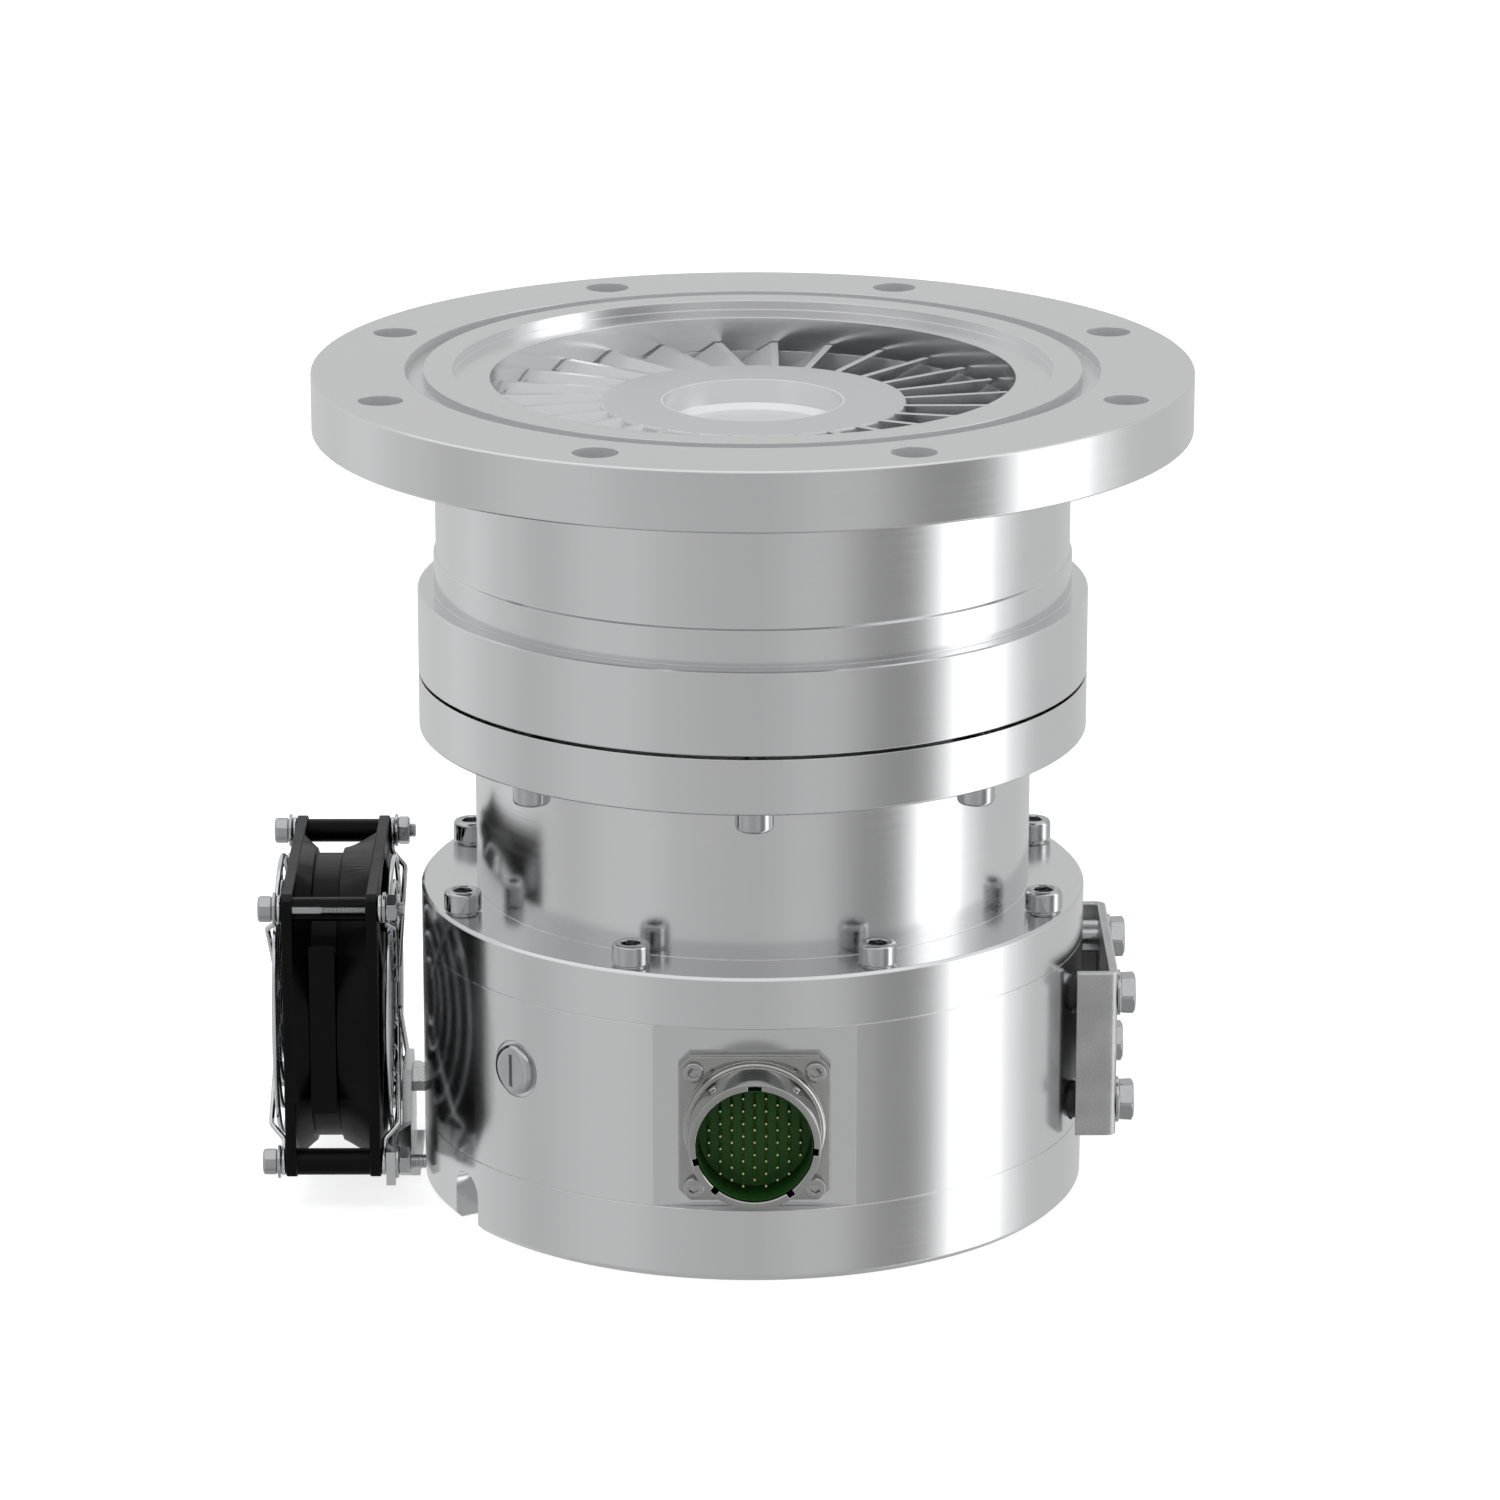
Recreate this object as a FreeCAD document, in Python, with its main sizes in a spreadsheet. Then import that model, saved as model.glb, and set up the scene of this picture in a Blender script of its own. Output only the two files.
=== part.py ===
import FreeCAD, Part
import math
import os
from types import SimpleNamespace

import Sketcher
from FreeCAD import Placement, Rotation, Vector

# Turbomolecular pump with a fan on its left side, a 55-contact connector on the front of its base
# and a channel bracket on the right. Millimetres, +Z up, front towards -Y.
# The origin is the centre of the base's underside.

# Driving dimensions, one cell each in the sheet named size.
DIMENSIONS = {
    # Stack of housings, from the underside up to the inlet flange
    "cover_height": 20.0,
    "base_height": 50.0,
    "base_flange": 14.0,
    "neck_length": 44.0,
    "mid_flange": 15.0,
    "mid_gap": 1.0,
    "casing_flange": 22.4,
    "ring_length": 9.6,
    "tube_length": 34.0,
    "inlet_flange": 16.0,
    # Bore of the pump and, from it outwards, walls and steps
    "bore_radius": 70.0,
    "spacer_wall": 4.0,
    "tube_wall": 11.0,
    "ring_step": 0.6,
    "flange_width": 32.5,
    "body_wall": 16.0,
    "shoulder_width": 8.0,
    "neck_wall": 9.0,
    "lip_width": 10.0,
    "lip_depth": 2.6,
    "lip_height": 12.0,
    "seam_depth": 10.0,
    "edge_chamfer": 0.4,
    "flange_chamfer": 0.8,
    "foot_chamfer": 1.7,
    "cavity_floor": 16.0,
    "seat_margin": 0.5,
    "overcut": 1.0,
    "fit": 0.04,
    "run_gap": 0.7,
    # Inlet flange seal groove and bolt holes
    "seal_land": 7.6,
    "seal_width": 5.0,
    "seal_depth": 3.0,
    "inlet_hole_inset": 12.5,
    "inlet_hole": 12.0,
    "inlet_holes": 8,
    # Cap screws that join the housings
    "screw_shank": 6.0,
    "screw_head": 10.0,
    "screw_head_height": 6.0,
    "screw_hex": 5.0,
    "screw_clearance": 0.6,
    "thread_gap": 0.05,
    "thread_depth": 12.0,
    "base_screw_inset": 6.0,
    "casing_screw_inset": 7.75,
    # Screws and tapped holes of the bottom cover
    "cover_screw_inset": 15.0,
    "cover_screw_shank": 5.0,
    "cover_screw_head": 8.5,
    "cover_screw_head_height": 5.0,
    "cover_screw_hex": 4.0,
    "cover_rim": 30.0,
    "cover_floor": 8.0,
    "mount_inset": 22.0,
    "mount_hole": 6.8,
    "mount_depth": 14.0,
    "notch_azimuth": -59.0,
    "notch_width": 12.0,
    "notch_height": 15.0,
    "notch_reach": 10.0,
    # Seal rings between the housings
    "ring_section": 2.6,
    "ring_depth": 2.4,
    # Turbine stages
    "rotor_sink": 9.4,
    "tip_gap": 1.0,
    "blade_thickness": 1.0,
    "blade_root": 2.0,
    "blade_count": 28,
    "rotor_stage_first": 8.0,
    "rotor_stage_last": 5.0,
    "stator_stage_first": 6.0,
    "stator_stage_last": 4.0,
    "rotor_angle_first": 32.0,
    "rotor_angle_last": 24.0,
    "stator_angle_first": 36.0,
    "stator_angle_last": 26.0,
    "stage_gap": 1.2,
    "rim_thickness": 1.5,
    "rim_lip": 0.8,
    "hub_gap": 1.0,
    "stator_hub": 3.0,
    "split_gap": 0.2,
    "hub_recess_radius": 24.0,
    "hub_recess_depth": 8.0,
    "recess_chamfer": 1.6,
    "hub_plate": 8.6,
    "hub_wall": 7.0,
    # Drag stage
    "drag_wall": 5.7,
    "drum_wall": 4.0,
    "drum_flange": 6.0,
    "drag_clearance": 6.0,
    "drum_lift": 4.0,
    "drag_flange": 4.0,
    # Shaft and magnetic bearings in the central column
    "shaft_radius": 11.0,
    "shaft_flange_width": 11.0,
    "shaft_flange": 6.0,
    "spigot_depth": 3.0,
    "shaft_screw_shank": 5.0,
    "shaft_screw_head": 8.5,
    "shaft_screw_head_height": 5.0,
    "shaft_screw_hex": 4.0,
    "shaft_screw_reach": 5.0,
    "sleeve_wall": 2.5,
    "coil_wall": 13.8,
    "column_wall": 4.0,
    "column_gap": 2.0,
    "seat_step": 2.0,
    "foot_width": 14.0,
    "column_foot": 6.0,
    "column_drop": 10.0,
    "column_lid": 10.0,
    "column_top_gap": 6.5,
    "touchdown_gap": 0.3,
    "touchdown_wall": 8.7,
    "touchdown_height": 7.0,
    "lower_magnet_height": 12.0,
    "disc_gap": 0.4,
    "disc_inset": 4.0,
    "disc_shoulder": 2.0,
    "disc_height": 4.0,
    "upper_magnet_height": 10.0,
    "lower_bearing_height": 8.0,
    "radial_height": 22.0,
    "motor_height": 36.0,
    "inner_spacing": 4.0,
    # Front flat with its multi-pin connector
    "flat_depth": 4.0,
    "connector_rise": 22.5,
    "plate_margin": 2.6,
    "plate_thickness": 3.0,
    "plate_corner": 3.0,
    "shell_radius": 17.25,
    "shell_wall": 2.0,
    "shell_length": 14.5,
    "shell_tail": 8.0,
    "collar_step": 1.15,
    "collar_height": 2.0,
    "insert_recess": 12.0,
    "insert_depth": 11.5,
    "pin_radius": 0.5,
    "pin_length": 8.5,
    "pin_column_pitch": 2.97,
    "pin_row_pitch": 3.43,
    "plate_screw_inset": 3.975,
    "plate_screw_shank": 3.0,
    "plate_screw_head": 5.5,
    "plate_screw_head_height": 2.2,
    "plate_screw_hex": 2.5,
    "plate_screw_reach": 7.0,
    "key_depth": 0.9,
    # Purge plug and exhaust port
    "purge_azimuth": -44.5,
    "purge_rise": 30.4,
    "purge_head_radius": 7.25,
    "purge_head_height": 3.4,
    "purge_stem_radius": 5.0,
    "purge_stem_length": 16.0,
    "purge_sink": 0.7,
    "slot_width": 1.8,
    "slot_depth": 1.6,
    "port_margin": 1.5,
    "port_sink": 3.0,
    "port_spigot": 13.5,
    "port_collar": 18.5,
    "port_collar_height": 3.5,
    "port_tube": 14.0,
    "port_bore": 12.0,
    "port_setback": 3.0,
    "port_break": 4.0,
    "port_counterbore": 1.0,
    "port_counterbore_depth": 3.0,
    "port_flange": 20.0,
    "port_flange_rim": 3.0,
    "port_taper": 15.0,
    "port_length": 25.0,
    # Channel bracket on the right
    "channel_height": 46.0,
    "channel_inset": 58.0,
    "channel_rise": 23.0,
    "channel_depth": 11.0,
    "channel_sheet": 2.2,
    "channel_bend": 2.6,
    "channel_standoff": 8.0,
    "channel_sink": 6.0,
    "side_gap": 0.3,
    "side_bolt_inset": 7.75,
    "side_bolt_shank": 6.0,
    "side_bolt_flats": 10.0,
    "side_bolt_head": 4.0,
    "side_bolt_reach": 9.0,
    "side_washer_radius": 6.2,
    "side_washer": 1.0,
    "bush_radius": 5.0,
    "bush_step": 0.3,
    "bush_height": 4.0,
    # Fan with its guards, measured from its inner face outwards
    "fan_standoff": 10.4,
    "fan_rise": 30.0,
    "fan_side": 80.0,
    "fan_depth": 25.5,
    "fan_flange": 2.9,
    "fan_corner": 4.0,
    "fan_bolt_inset": 4.25,
    "duct_margin": 2.7,
    "duct_wall": 1.1,
    "duct_spread": 5.3,
    "duct_flare": 7.1,
    "post_radius": 3.6,
    "fan_hub_radius": 17.0,
    "fan_plate": 2.0,
    "fan_strut": 4.0,
    "strut_root": 0.6,
    "bearing_tube": 3.2,
    "bearing_gap": 1.5,
    "coil_height": 9.0,
    "coil_gap": 4.0,
    "impeller_hub": 18.0,
    "impeller_wall": 1.5,
    "impeller_blade": 1.6,
    "impeller_blades": 7,
    "impeller_angle": 44.0,
    "impeller_camber": 1.5,
    "impeller_inset": 1.0,
    "impeller_gap": 2.0,
    "impeller_setback": 3.5,
    "fan_shaft_radius": 1.5,
    "wire": 1.5,
    "guard_rise": 4.2,
    "guard_foot": 6.66,
    "guard_ring_first": 9.0,
    "guard_overlap": 0.5,
    "guard_rings": 5,
    "guard_loop_gap": 0.25,
    "guard_weld": 0.45,
    "fan_bolt_shank": 4.0,
    "fan_bolt_head": 7.0,
    "fan_bolt_head_height": 4.0,
    "fan_bolt_hex": 3.0,
    "fan_bolt_clearance": 0.4,
    "fan_bolt_end_upper": 1.7,
    "fan_bolt_end_lower": 4.2,
    "fan_washer_radius": 4.5,
    "fan_washer": 0.8,
    "fan_nut_flats": 7.0,
    "fan_nut": 3.2,
    # Bracket that carries the fan on the base
    "sheet": 2.5,
    "strip_width": 9.3,
    "strip_drop": 5.35,
    "web_offset": 3.2,
    "web_half_width": 15.0,
    "web_above": 5.0,
    "web_top_half_width": 9.0,
    "foot_drop": 6.3,
    "joggle_start": 17.0,
    "joggle_end": 24.0,
    "foot_gap": 0.9,
    "stud_rise": 6.0,
    "stud_flats": 7.0,
    "stud_radius": 2.0,
    "stud_sink": 0.4,
    "stud_reach": 8.0,
}

ROTOR_STAGES = 6
HOUSING_SCREWS = 8
HOUSING_SCREW_START = 22.5
INNER_SCREWS = 6
COLUMN_SCREW_START = 30.0
MOUNT_HOLES = 4
MOUNT_HOLE_START = 45.0
PIN_COLUMNS = (3, 6, 7, 8, 7, 8, 7, 6, 3)
KEY_AZIMUTHS = (0.0, 95.0, 144.0, 221.0, 255.0)
KEY_WIDTHS = (3.4, 1.8, 1.8, 1.8, 1.8)


class Size:
    """A length that knows its value and its formula in the sheet."""

    def __init__(self, value, formula):
        self.value = float(value)
        self.formula = formula

    def __add__(self, other):
        return joined(self, "+", other, self.value + number(other))

    def __radd__(self, other):
        return joined(other, "+", self, number(other) + self.value)

    def __sub__(self, other):
        return joined(self, "-", other, self.value - number(other))

    def __rsub__(self, other):
        return joined(other, "-", self, number(other) - self.value)

    def __mul__(self, other):
        return joined(self, "*", other, self.value * number(other))

    def __truediv__(self, other):
        return joined(self, "/", other, self.value / number(other))

    def __neg__(self):
        return Size(-self.value, "(0 - " + self.formula + ")")


def number(length):
    """The plain number of a size or of a number."""
    return length.value if isinstance(length, Size) else float(length)


def formula(length):
    """The sheet formula of a size or of a number."""
    return length.formula if isinstance(length, Size) else repr(float(length))


def joined(left, sign, right, value):
    return Size(value, "(" + formula(left) + " " + sign + " " + formula(right) + ")")


doc = FreeCAD.newDocument("turbopump")
sheet = doc.addObject("Spreadsheet::Sheet", "size")
for row, (alias, length) in enumerate(DIMENSIONS.items(), start=1):
    sheet.set("A%d" % row, alias)
    sheet.set("B%d" % row, str(length))
    sheet.setAlias("B%d" % row, alias)
doc.recompute()

d = SimpleNamespace(**{alias: Size(sheet.get(alias), "size." + alias) for alias in DIMENSIONS})
nodes = []
upright = Vector(0, 0, 1)


# Levels of the housings above the underside
z_cover = d.cover_height
z_base = z_cover + d.base_height
z_neck = z_base + d.base_flange
z_mid = z_neck + d.neck_length
z_seam = z_mid + d.mid_flange
z_joint = z_seam + d.mid_gap
z_ring = z_joint + d.casing_flange
z_tube = z_ring + d.ring_length
z_inlet = z_tube + d.tube_length
z_top = z_inlet + d.inlet_flange
z_floor = z_cover + d.cavity_floor
z_stack = z_top - d.lip_height
z_rotor = z_top - d.rotor_sink

# Radii of the housings, from the bore outwards
stack_radius = d.bore_radius + d.spacer_wall
stack_bore = stack_radius + d.fit
tube_radius = stack_radius + d.tube_wall
inlet_radius = tube_radius + d.flange_width
body_radius = stack_radius + d.body_wall
cavity_radius = stack_radius - d.shoulder_width
housing_bore = cavity_radius + d.fit
neck_radius = cavity_radius + d.neck_wall
lip_radius = d.bore_radius + d.lip_width
seal_inner = lip_radius + d.seal_land
joint_land = body_radius - d.seam_depth

# Pitch circles of the screws and holes
inlet_pcd = (inlet_radius - d.inlet_hole_inset) * 2
base_screw_pcd = (body_radius - d.base_screw_inset) * 2
casing_screw_pcd = (body_radius - d.casing_screw_inset) * 2
cover_screw_pcd = (body_radius - d.cover_screw_inset) * 2
mount_pcd = (body_radius - d.mount_inset) * 2

# Radii from the shaft outwards to the rotor's hub and drum
sleeve_radius = d.shaft_radius + d.sleeve_wall
magnet_bore = sleeve_radius + d.run_gap
touchdown_bore = d.shaft_radius + d.touchdown_gap
touchdown_radius = touchdown_bore + d.touchdown_wall
column_bore = magnet_bore + d.coil_wall
column_radius = column_bore + d.column_wall
column_seat = column_radius + d.seat_step
column_foot_radius = column_seat + d.foot_width
column_screw_pcd = column_seat * 2 + d.foot_width
disc_radius = column_bore - d.disc_inset
disc_bore = d.shaft_radius - d.disc_shoulder
shaft_flange_radius = d.shaft_radius + d.shaft_flange_width
shaft_screw_pcd = d.shaft_radius * 2 + d.shaft_flange_width
hub_cavity = column_radius + d.column_gap
hub_radius = hub_cavity + d.hub_wall
stator_inner = hub_radius + d.hub_gap
blade_tip = d.bore_radius - d.tip_gap
drag_bore = cavity_radius - d.drag_wall
drum_radius = drag_bore - d.run_gap
drum_bore = drum_radius - d.drum_wall
drag_end = z_base + d.drag_clearance
drum_end = drag_end + d.drum_lift

# Places of what is fitted round the base
flat_reach = body_radius - d.flat_depth
connector_height = z_cover + d.connector_rise
plate_side = (d.shell_radius + d.plate_margin) * 2
plate_screw_pitch = plate_side - d.plate_screw_inset * 2
collar_radius = d.shell_radius + d.collar_step
purge_seat = body_radius - d.purge_sink
purge_height = z_cover + d.purge_rise
port_seat = body_radius - d.port_sink
port_height = z_base - d.port_collar - d.port_margin
channel_face = body_radius + d.channel_standoff
channel_seat = body_radius - d.channel_sink
channel_middle = z_cover + d.channel_rise
channel_width = (body_radius - d.channel_inset) * 2
side_bolt_pitch_z = d.channel_height - d.side_bolt_inset * 2

# Fan and the bracket under it
fan_face = body_radius + d.fan_standoff
fan_height = z_cover + d.fan_rise
fan_bolt_pitch = d.fan_side - d.fan_bolt_inset * 2
fan_hole = d.fan_bolt_shank + d.fan_bolt_clearance
duct_bore = d.fan_side / 2 - d.duct_margin
duct_radius = duct_bore + d.duct_wall
duct_mouth = duct_radius + d.duct_spread
impeller_tip = duct_bore - d.run_gap
impeller_start = d.fan_plate + d.impeller_gap
impeller_end = d.fan_depth - d.impeller_setback
guard_ring_last = duct_bore + d.guard_overlap
stud_seat = body_radius - d.stud_sink
stud_height = z_cover + d.stud_rise
strip_lower = fan_height - fan_bolt_pitch / 2 - d.strip_drop
web_top = stud_height + d.web_above
web_bottom = strip_lower - d.foot_drop


# Building blocks

def keep(shape_object, label):
    """Names a finished sub-part; its label is also the name of its file."""
    shape_object.Label = label
    nodes.append(shape_object)
    return shape_object


def plane_of(body, role):
    return next(plane for plane in body.Origin.OriginFeatures if plane.Role == role)


def sketch_on(body, name, role, offset=(0, 0, 0), turn=None):
    """A sketch on one of the body's origin planes, moved along the plane's own axes."""
    sketch = body.newObject("Sketcher::SketchObject", name)
    sketch.AttachmentSupport = [(plane_of(body, role), "")]
    sketch.MapMode = "FlatFace"
    rotation = turn if turn else Rotation()
    sketch.AttachmentOffset = Placement(Vector(*[number(move) for move in offset]), rotation)
    for axis, move in zip("xyz", offset):
        if isinstance(move, Size):
            sketch.setExpression("AttachmentOffset.Base." + axis, move.formula)
    return sketch


def hold(sketch, constraint, length):
    """Adds a dimension to a sketch and ties it to the sheet."""
    index = sketch.addConstraint(constraint)
    if isinstance(length, Size):
        sketch.setExpression("Constraints[%d]" % index, length.formula)


def add_outline(sketch, points):
    """A closed outline of straight edges, each corner held by its two distances."""
    first = sketch.GeometryCount
    corners = [Vector(number(x), number(y), 0) for x, y in points]
    count = len(corners)
    for i in range(count):
        sketch.addGeometry(Part.LineSegment(corners[i], corners[(i + 1) % count]))
    for i in range(count):
        following = first + (i + 1) % count
        sketch.addConstraint(Sketcher.Constraint("Coincident", first + i, 2, following, 1))
    for i, (x, y) in enumerate(points):
        hold(sketch, Sketcher.Constraint("DistanceX", -1, 1, first + i, 1, number(x)), x)
        hold(sketch, Sketcher.Constraint("DistanceY", -1, 1, first + i, 1, number(y)), y)


def add_circle(sketch, x, y, radius):
    centre = Vector(number(x), number(y), 0)
    index = sketch.addGeometry(Part.Circle(centre, upright, number(radius)))
    hold(sketch, Sketcher.Constraint("Radius", index, number(radius)), radius)
    hold(sketch, Sketcher.Constraint("DistanceX", -1, 1, index, 3, number(x)), x)
    hold(sketch, Sketcher.Constraint("DistanceY", -1, 1, index, 3, number(y)), y)


def new_body(label):
    return keep(doc.addObject("PartDesign::Body", label), label)


def turned(label, points, name="Turned"):
    """A body turned about its Z axis from an outline of (radius, height) corners."""
    body = new_body(label)
    sketch = sketch_on(body, label + name, "XZ_Plane")
    add_outline(sketch, points)
    revolution = body.newObject("PartDesign::Revolution", label + name + "Form")
    revolution.Profile = sketch
    revolution.ReferenceAxis = (sketch, ["V_Axis"])
    revolution.Angle = 360
    return body


def cut_depth(body, sketch, name, depth, forward):
    pocket = body.newObject("PartDesign::Pocket", name)
    pocket.Profile = sketch
    pocket.Length = number(depth)
    if isinstance(depth, Size):
        pocket.setExpression("Length", depth.formula)
    pocket.Reversed = forward
    return pocket


def repeat_round(body, feature, count):
    """Repeats a cut evenly around the body's Z axis; count is a size or a number."""
    pattern = body.newObject("PartDesign::PolarPattern", feature.Name + "Round")
    pattern.Originals = [feature]
    pattern.Axis = (plane_of(body, "Z_Axis"), [""])
    pattern.Angle = 360
    pattern.Occurrences = int(number(count))
    if isinstance(count, Size):
        pattern.setExpression("Occurrences", count.formula)
    body.Tip = pattern
    return pattern


def ring_of_holes(body, name, pcd, diameter, level, depth, count, start=0.0, up=False):
    """Round holes on a pitch circle, cut down from a level, or up from it."""
    sketch = sketch_on(body, name + "Sketch", "XY_Plane", (0, 0, level), Rotation(upright, start))
    add_circle(sketch, pcd / 2, 0, diameter / 2)
    pocket = cut_depth(body, sketch, name, depth, up)
    body.Tip = pocket
    return repeat_round(body, pocket, count)


def cut_inwards(body, name, role, offset, draw, depth, forward=False, turn=None):
    """A pocket from a sketch on an origin plane; draw adds the sketch's outlines."""
    sketch = sketch_on(body, name + "Sketch", role, offset, turn)
    draw(sketch)
    pocket = cut_depth(body, sketch, name, depth, forward)
    body.Tip = pocket
    return pocket


def shaped(label, shape, placement=None):
    """A sub-part whose shape is worked out with shape operations."""
    feature = doc.addObject("Part::Feature", label)
    feature.Shape = shape
    feature.Placement = placement if placement else Placement()
    return keep(feature, label)


def tube(label, inner, outer, bottom, height):
    """A plain ring, cut from two cylinders that are tied to the sheet."""
    outside = doc.addObject("Part::Cylinder", label + "Outside")
    inside = doc.addObject("Part::Cylinder", label + "Inside")
    for cylinder, radius in ((outside, outer), (inside, inner)):
        cylinder.setExpression("Radius", formula(radius))
        cylinder.setExpression("Height", formula(height))
        cylinder.setExpression("Placement.Base.z", formula(bottom))
    ring = doc.addObject("Part::Cut", label)
    ring.Base = outside
    ring.Tool = inside
    return keep(ring, label)


def disc(radius, height, bottom=0.0):
    return Part.makeCylinder(number(radius), number(height), Vector(0, 0, number(bottom)))


def block(width, breadth, height, bottom=0.0):
    """A box centred on the Z axis."""
    x, y, z = number(width), number(breadth), number(height)
    return Part.makeBox(x, y, z, Vector(-x / 2, -y / 2, number(bottom)))


def hexagon(flats, height, bottom=0.0):
    """A hexagonal prism, given the distance across its flats."""
    reach = number(flats) / math.sqrt(3)
    angles = [math.radians(60 * i + 30) for i in range(7)]
    corners = [Vector(reach * math.cos(a), reach * math.sin(a), number(bottom)) for a in angles]
    return Part.Face(Part.makePolygon(corners)).extrude(Vector(0, 0, number(height)))


def cap_screw(shank, head, head_height, hexagon_flats, length):
    """A socket head cap screw, head up, with its underside at zero."""
    head_shape = disc(head / 2, head_height)
    socket_depth = number(head_height) / 2
    socket = hexagon(hexagon_flats, socket_depth, number(head_height) - socket_depth)
    body = disc(shank / 2, length, -number(length))
    return head_shape.cut(socket).fuse(body).removeSplitter()


def hex_bolt(shank, flats, head_height, length):
    return hexagon(flats, head_height).fuse(disc(shank / 2, length, -number(length))).removeSplitter()


def washer(outer, inner, height, bottom=0.0):
    return disc(outer, height, bottom).cut(disc(inner, height, bottom))


def around(shape, pcd, level, count, start=0.0, down=False):
    """Copies of a shape on a pitch circle about Z, upside down if asked."""
    copies = []
    for i in range(int(count)):
        angle = start + 360.0 * i / count
        reach = Vector(number(pcd) / 2, 0, 0)
        flip = Rotation(Vector(1, 0, 0), 180 if down else 0)
        place = Placement(Vector(0, 0, number(level)), Rotation(upright, angle))
        copies.append(shape.transformed(place.multiply(Placement(reach, flip)).toMatrix()))
    return Part.makeCompound(copies)


def revolved(points):
    """A solid turned about Z from (radius, height) numbers."""
    corners = [Vector(number(r), 0, number(z)) for r, z in points]
    face = Part.Face(Part.makePolygon(corners + corners[:1]))
    return face.revolve(Vector(0, 0, 0), upright, 360)


# Inlet casing: the flange with its seal groove and eight bolt holes, the tube and its lower flange

def inlet_casing():
    seal_outer = seal_inner + d.seal_width
    seal_floor = z_top - d.seal_depth
    lip_floor = z_top - d.lip_depth
    ring_radius = tube_radius + d.ring_step
    body = turned("inlet_casing", [
        (stack_bore, z_joint),
        (body_radius, z_joint),
        (body_radius, z_ring - d.edge_chamfer),
        (body_radius - d.edge_chamfer, z_ring),
        (ring_radius, z_ring),
        (ring_radius, z_tube),
        (tube_radius, z_tube + d.ring_step),
        (tube_radius, z_inlet),
        (inlet_radius - d.edge_chamfer, z_inlet),
        (inlet_radius, z_inlet + d.edge_chamfer),
        (inlet_radius, z_top - d.edge_chamfer),
        (inlet_radius - d.edge_chamfer, z_top),
        (seal_outer, z_top),
        (seal_outer, seal_floor),
        (seal_inner, seal_floor),
        (seal_inner, z_top),
        (lip_radius, z_top),
        (lip_radius, lip_floor),
        (d.bore_radius, lip_floor),
        (d.bore_radius, z_stack),
        (stack_bore, z_stack),
    ])
    ring_of_holes(body, "InletHoles", inlet_pcd, d.inlet_hole, z_top, d.inlet_flange,
                  d.inlet_holes, HOUSING_SCREW_START)
    ring_of_holes(body, "CasingThreads", casing_screw_pcd, d.screw_shank + d.thread_gap * 2,
                  z_joint, d.thread_depth + d.mid_gap, HOUSING_SCREWS, up=True)


# Pump housing: lower half of the middle joint, the neck and the flange on the base

def pump_housing():
    drag_top = stages()[0][-1][1] - d.stage_gap
    shoulder = drag_top - d.drag_flange
    groove_inner = stack_bore + d.ring_section / 2
    groove_outer = groove_inner + d.ring_section
    groove_floor = z_joint - d.ring_depth
    body = turned("pump_housing", [
        (housing_bore, z_base),
        (body_radius, z_base),
        (body_radius, z_neck - d.flange_chamfer),
        (body_radius - d.flange_chamfer, z_neck),
        (neck_radius, z_neck),
        (neck_radius, z_mid),
        (body_radius - d.edge_chamfer, z_mid),
        (body_radius, z_mid + d.edge_chamfer),
        (body_radius, z_seam),
        (joint_land, z_seam),
        (joint_land, z_joint),
        (groove_outer, z_joint),
        (groove_outer, groove_floor),
        (groove_inner, groove_floor),
        (groove_inner, z_joint),
        (stack_bore, z_joint),
        (stack_bore, shoulder),
        (housing_bore, shoulder),
    ])
    clearance = d.screw_shank + d.screw_clearance
    ring_of_holes(body, "CasingScrewHoles", casing_screw_pcd, clearance, z_joint,
                  d.mid_flange + d.mid_gap, HOUSING_SCREWS)
    ring_of_holes(body, "BaseScrewHoles", base_screw_pcd, clearance, z_neck,
                  d.base_flange, HOUSING_SCREWS, HOUSING_SCREW_START)
    tube("casing_seal", groove_inner + d.fit, groove_outer - d.fit, groove_floor, d.ring_depth)


# Base body: gas chamber, front flat for the connector, seats for bracket, fan stud, plug and port

def azimuth_plane(reach, azimuth):
    """Offset and turn of a sketch plane that faces outwards at an azimuth from the front."""
    sine = Size(math.sin(math.radians(azimuth.value)), "sin(" + azimuth.formula + ")")
    cosine = Size(math.cos(math.radians(azimuth.value)), "cos(" + azimuth.formula + ")")
    return (reach * sine, 0, reach * cosine), Rotation(Vector(0, 1, 0), azimuth.value)


def side_bolt_places():
    """Places of the bracket's four bolts on the YZ plane, their bushes just inside its cheeks."""
    reach = channel_width / 2 - d.channel_sheet - d.side_gap - d.bush_radius
    places = []
    for side in (-1, 1):
        for level in (-1, 1):
            y = reach * side
            z = channel_middle + side_bolt_pitch_z / 2 * level
            places.append((y, z))
    return places


def plate_screw_places():
    half = plate_screw_pitch / 2
    return [(half * x, half * y) for x in (-1, 1) for y in (-1, 1)]


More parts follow.
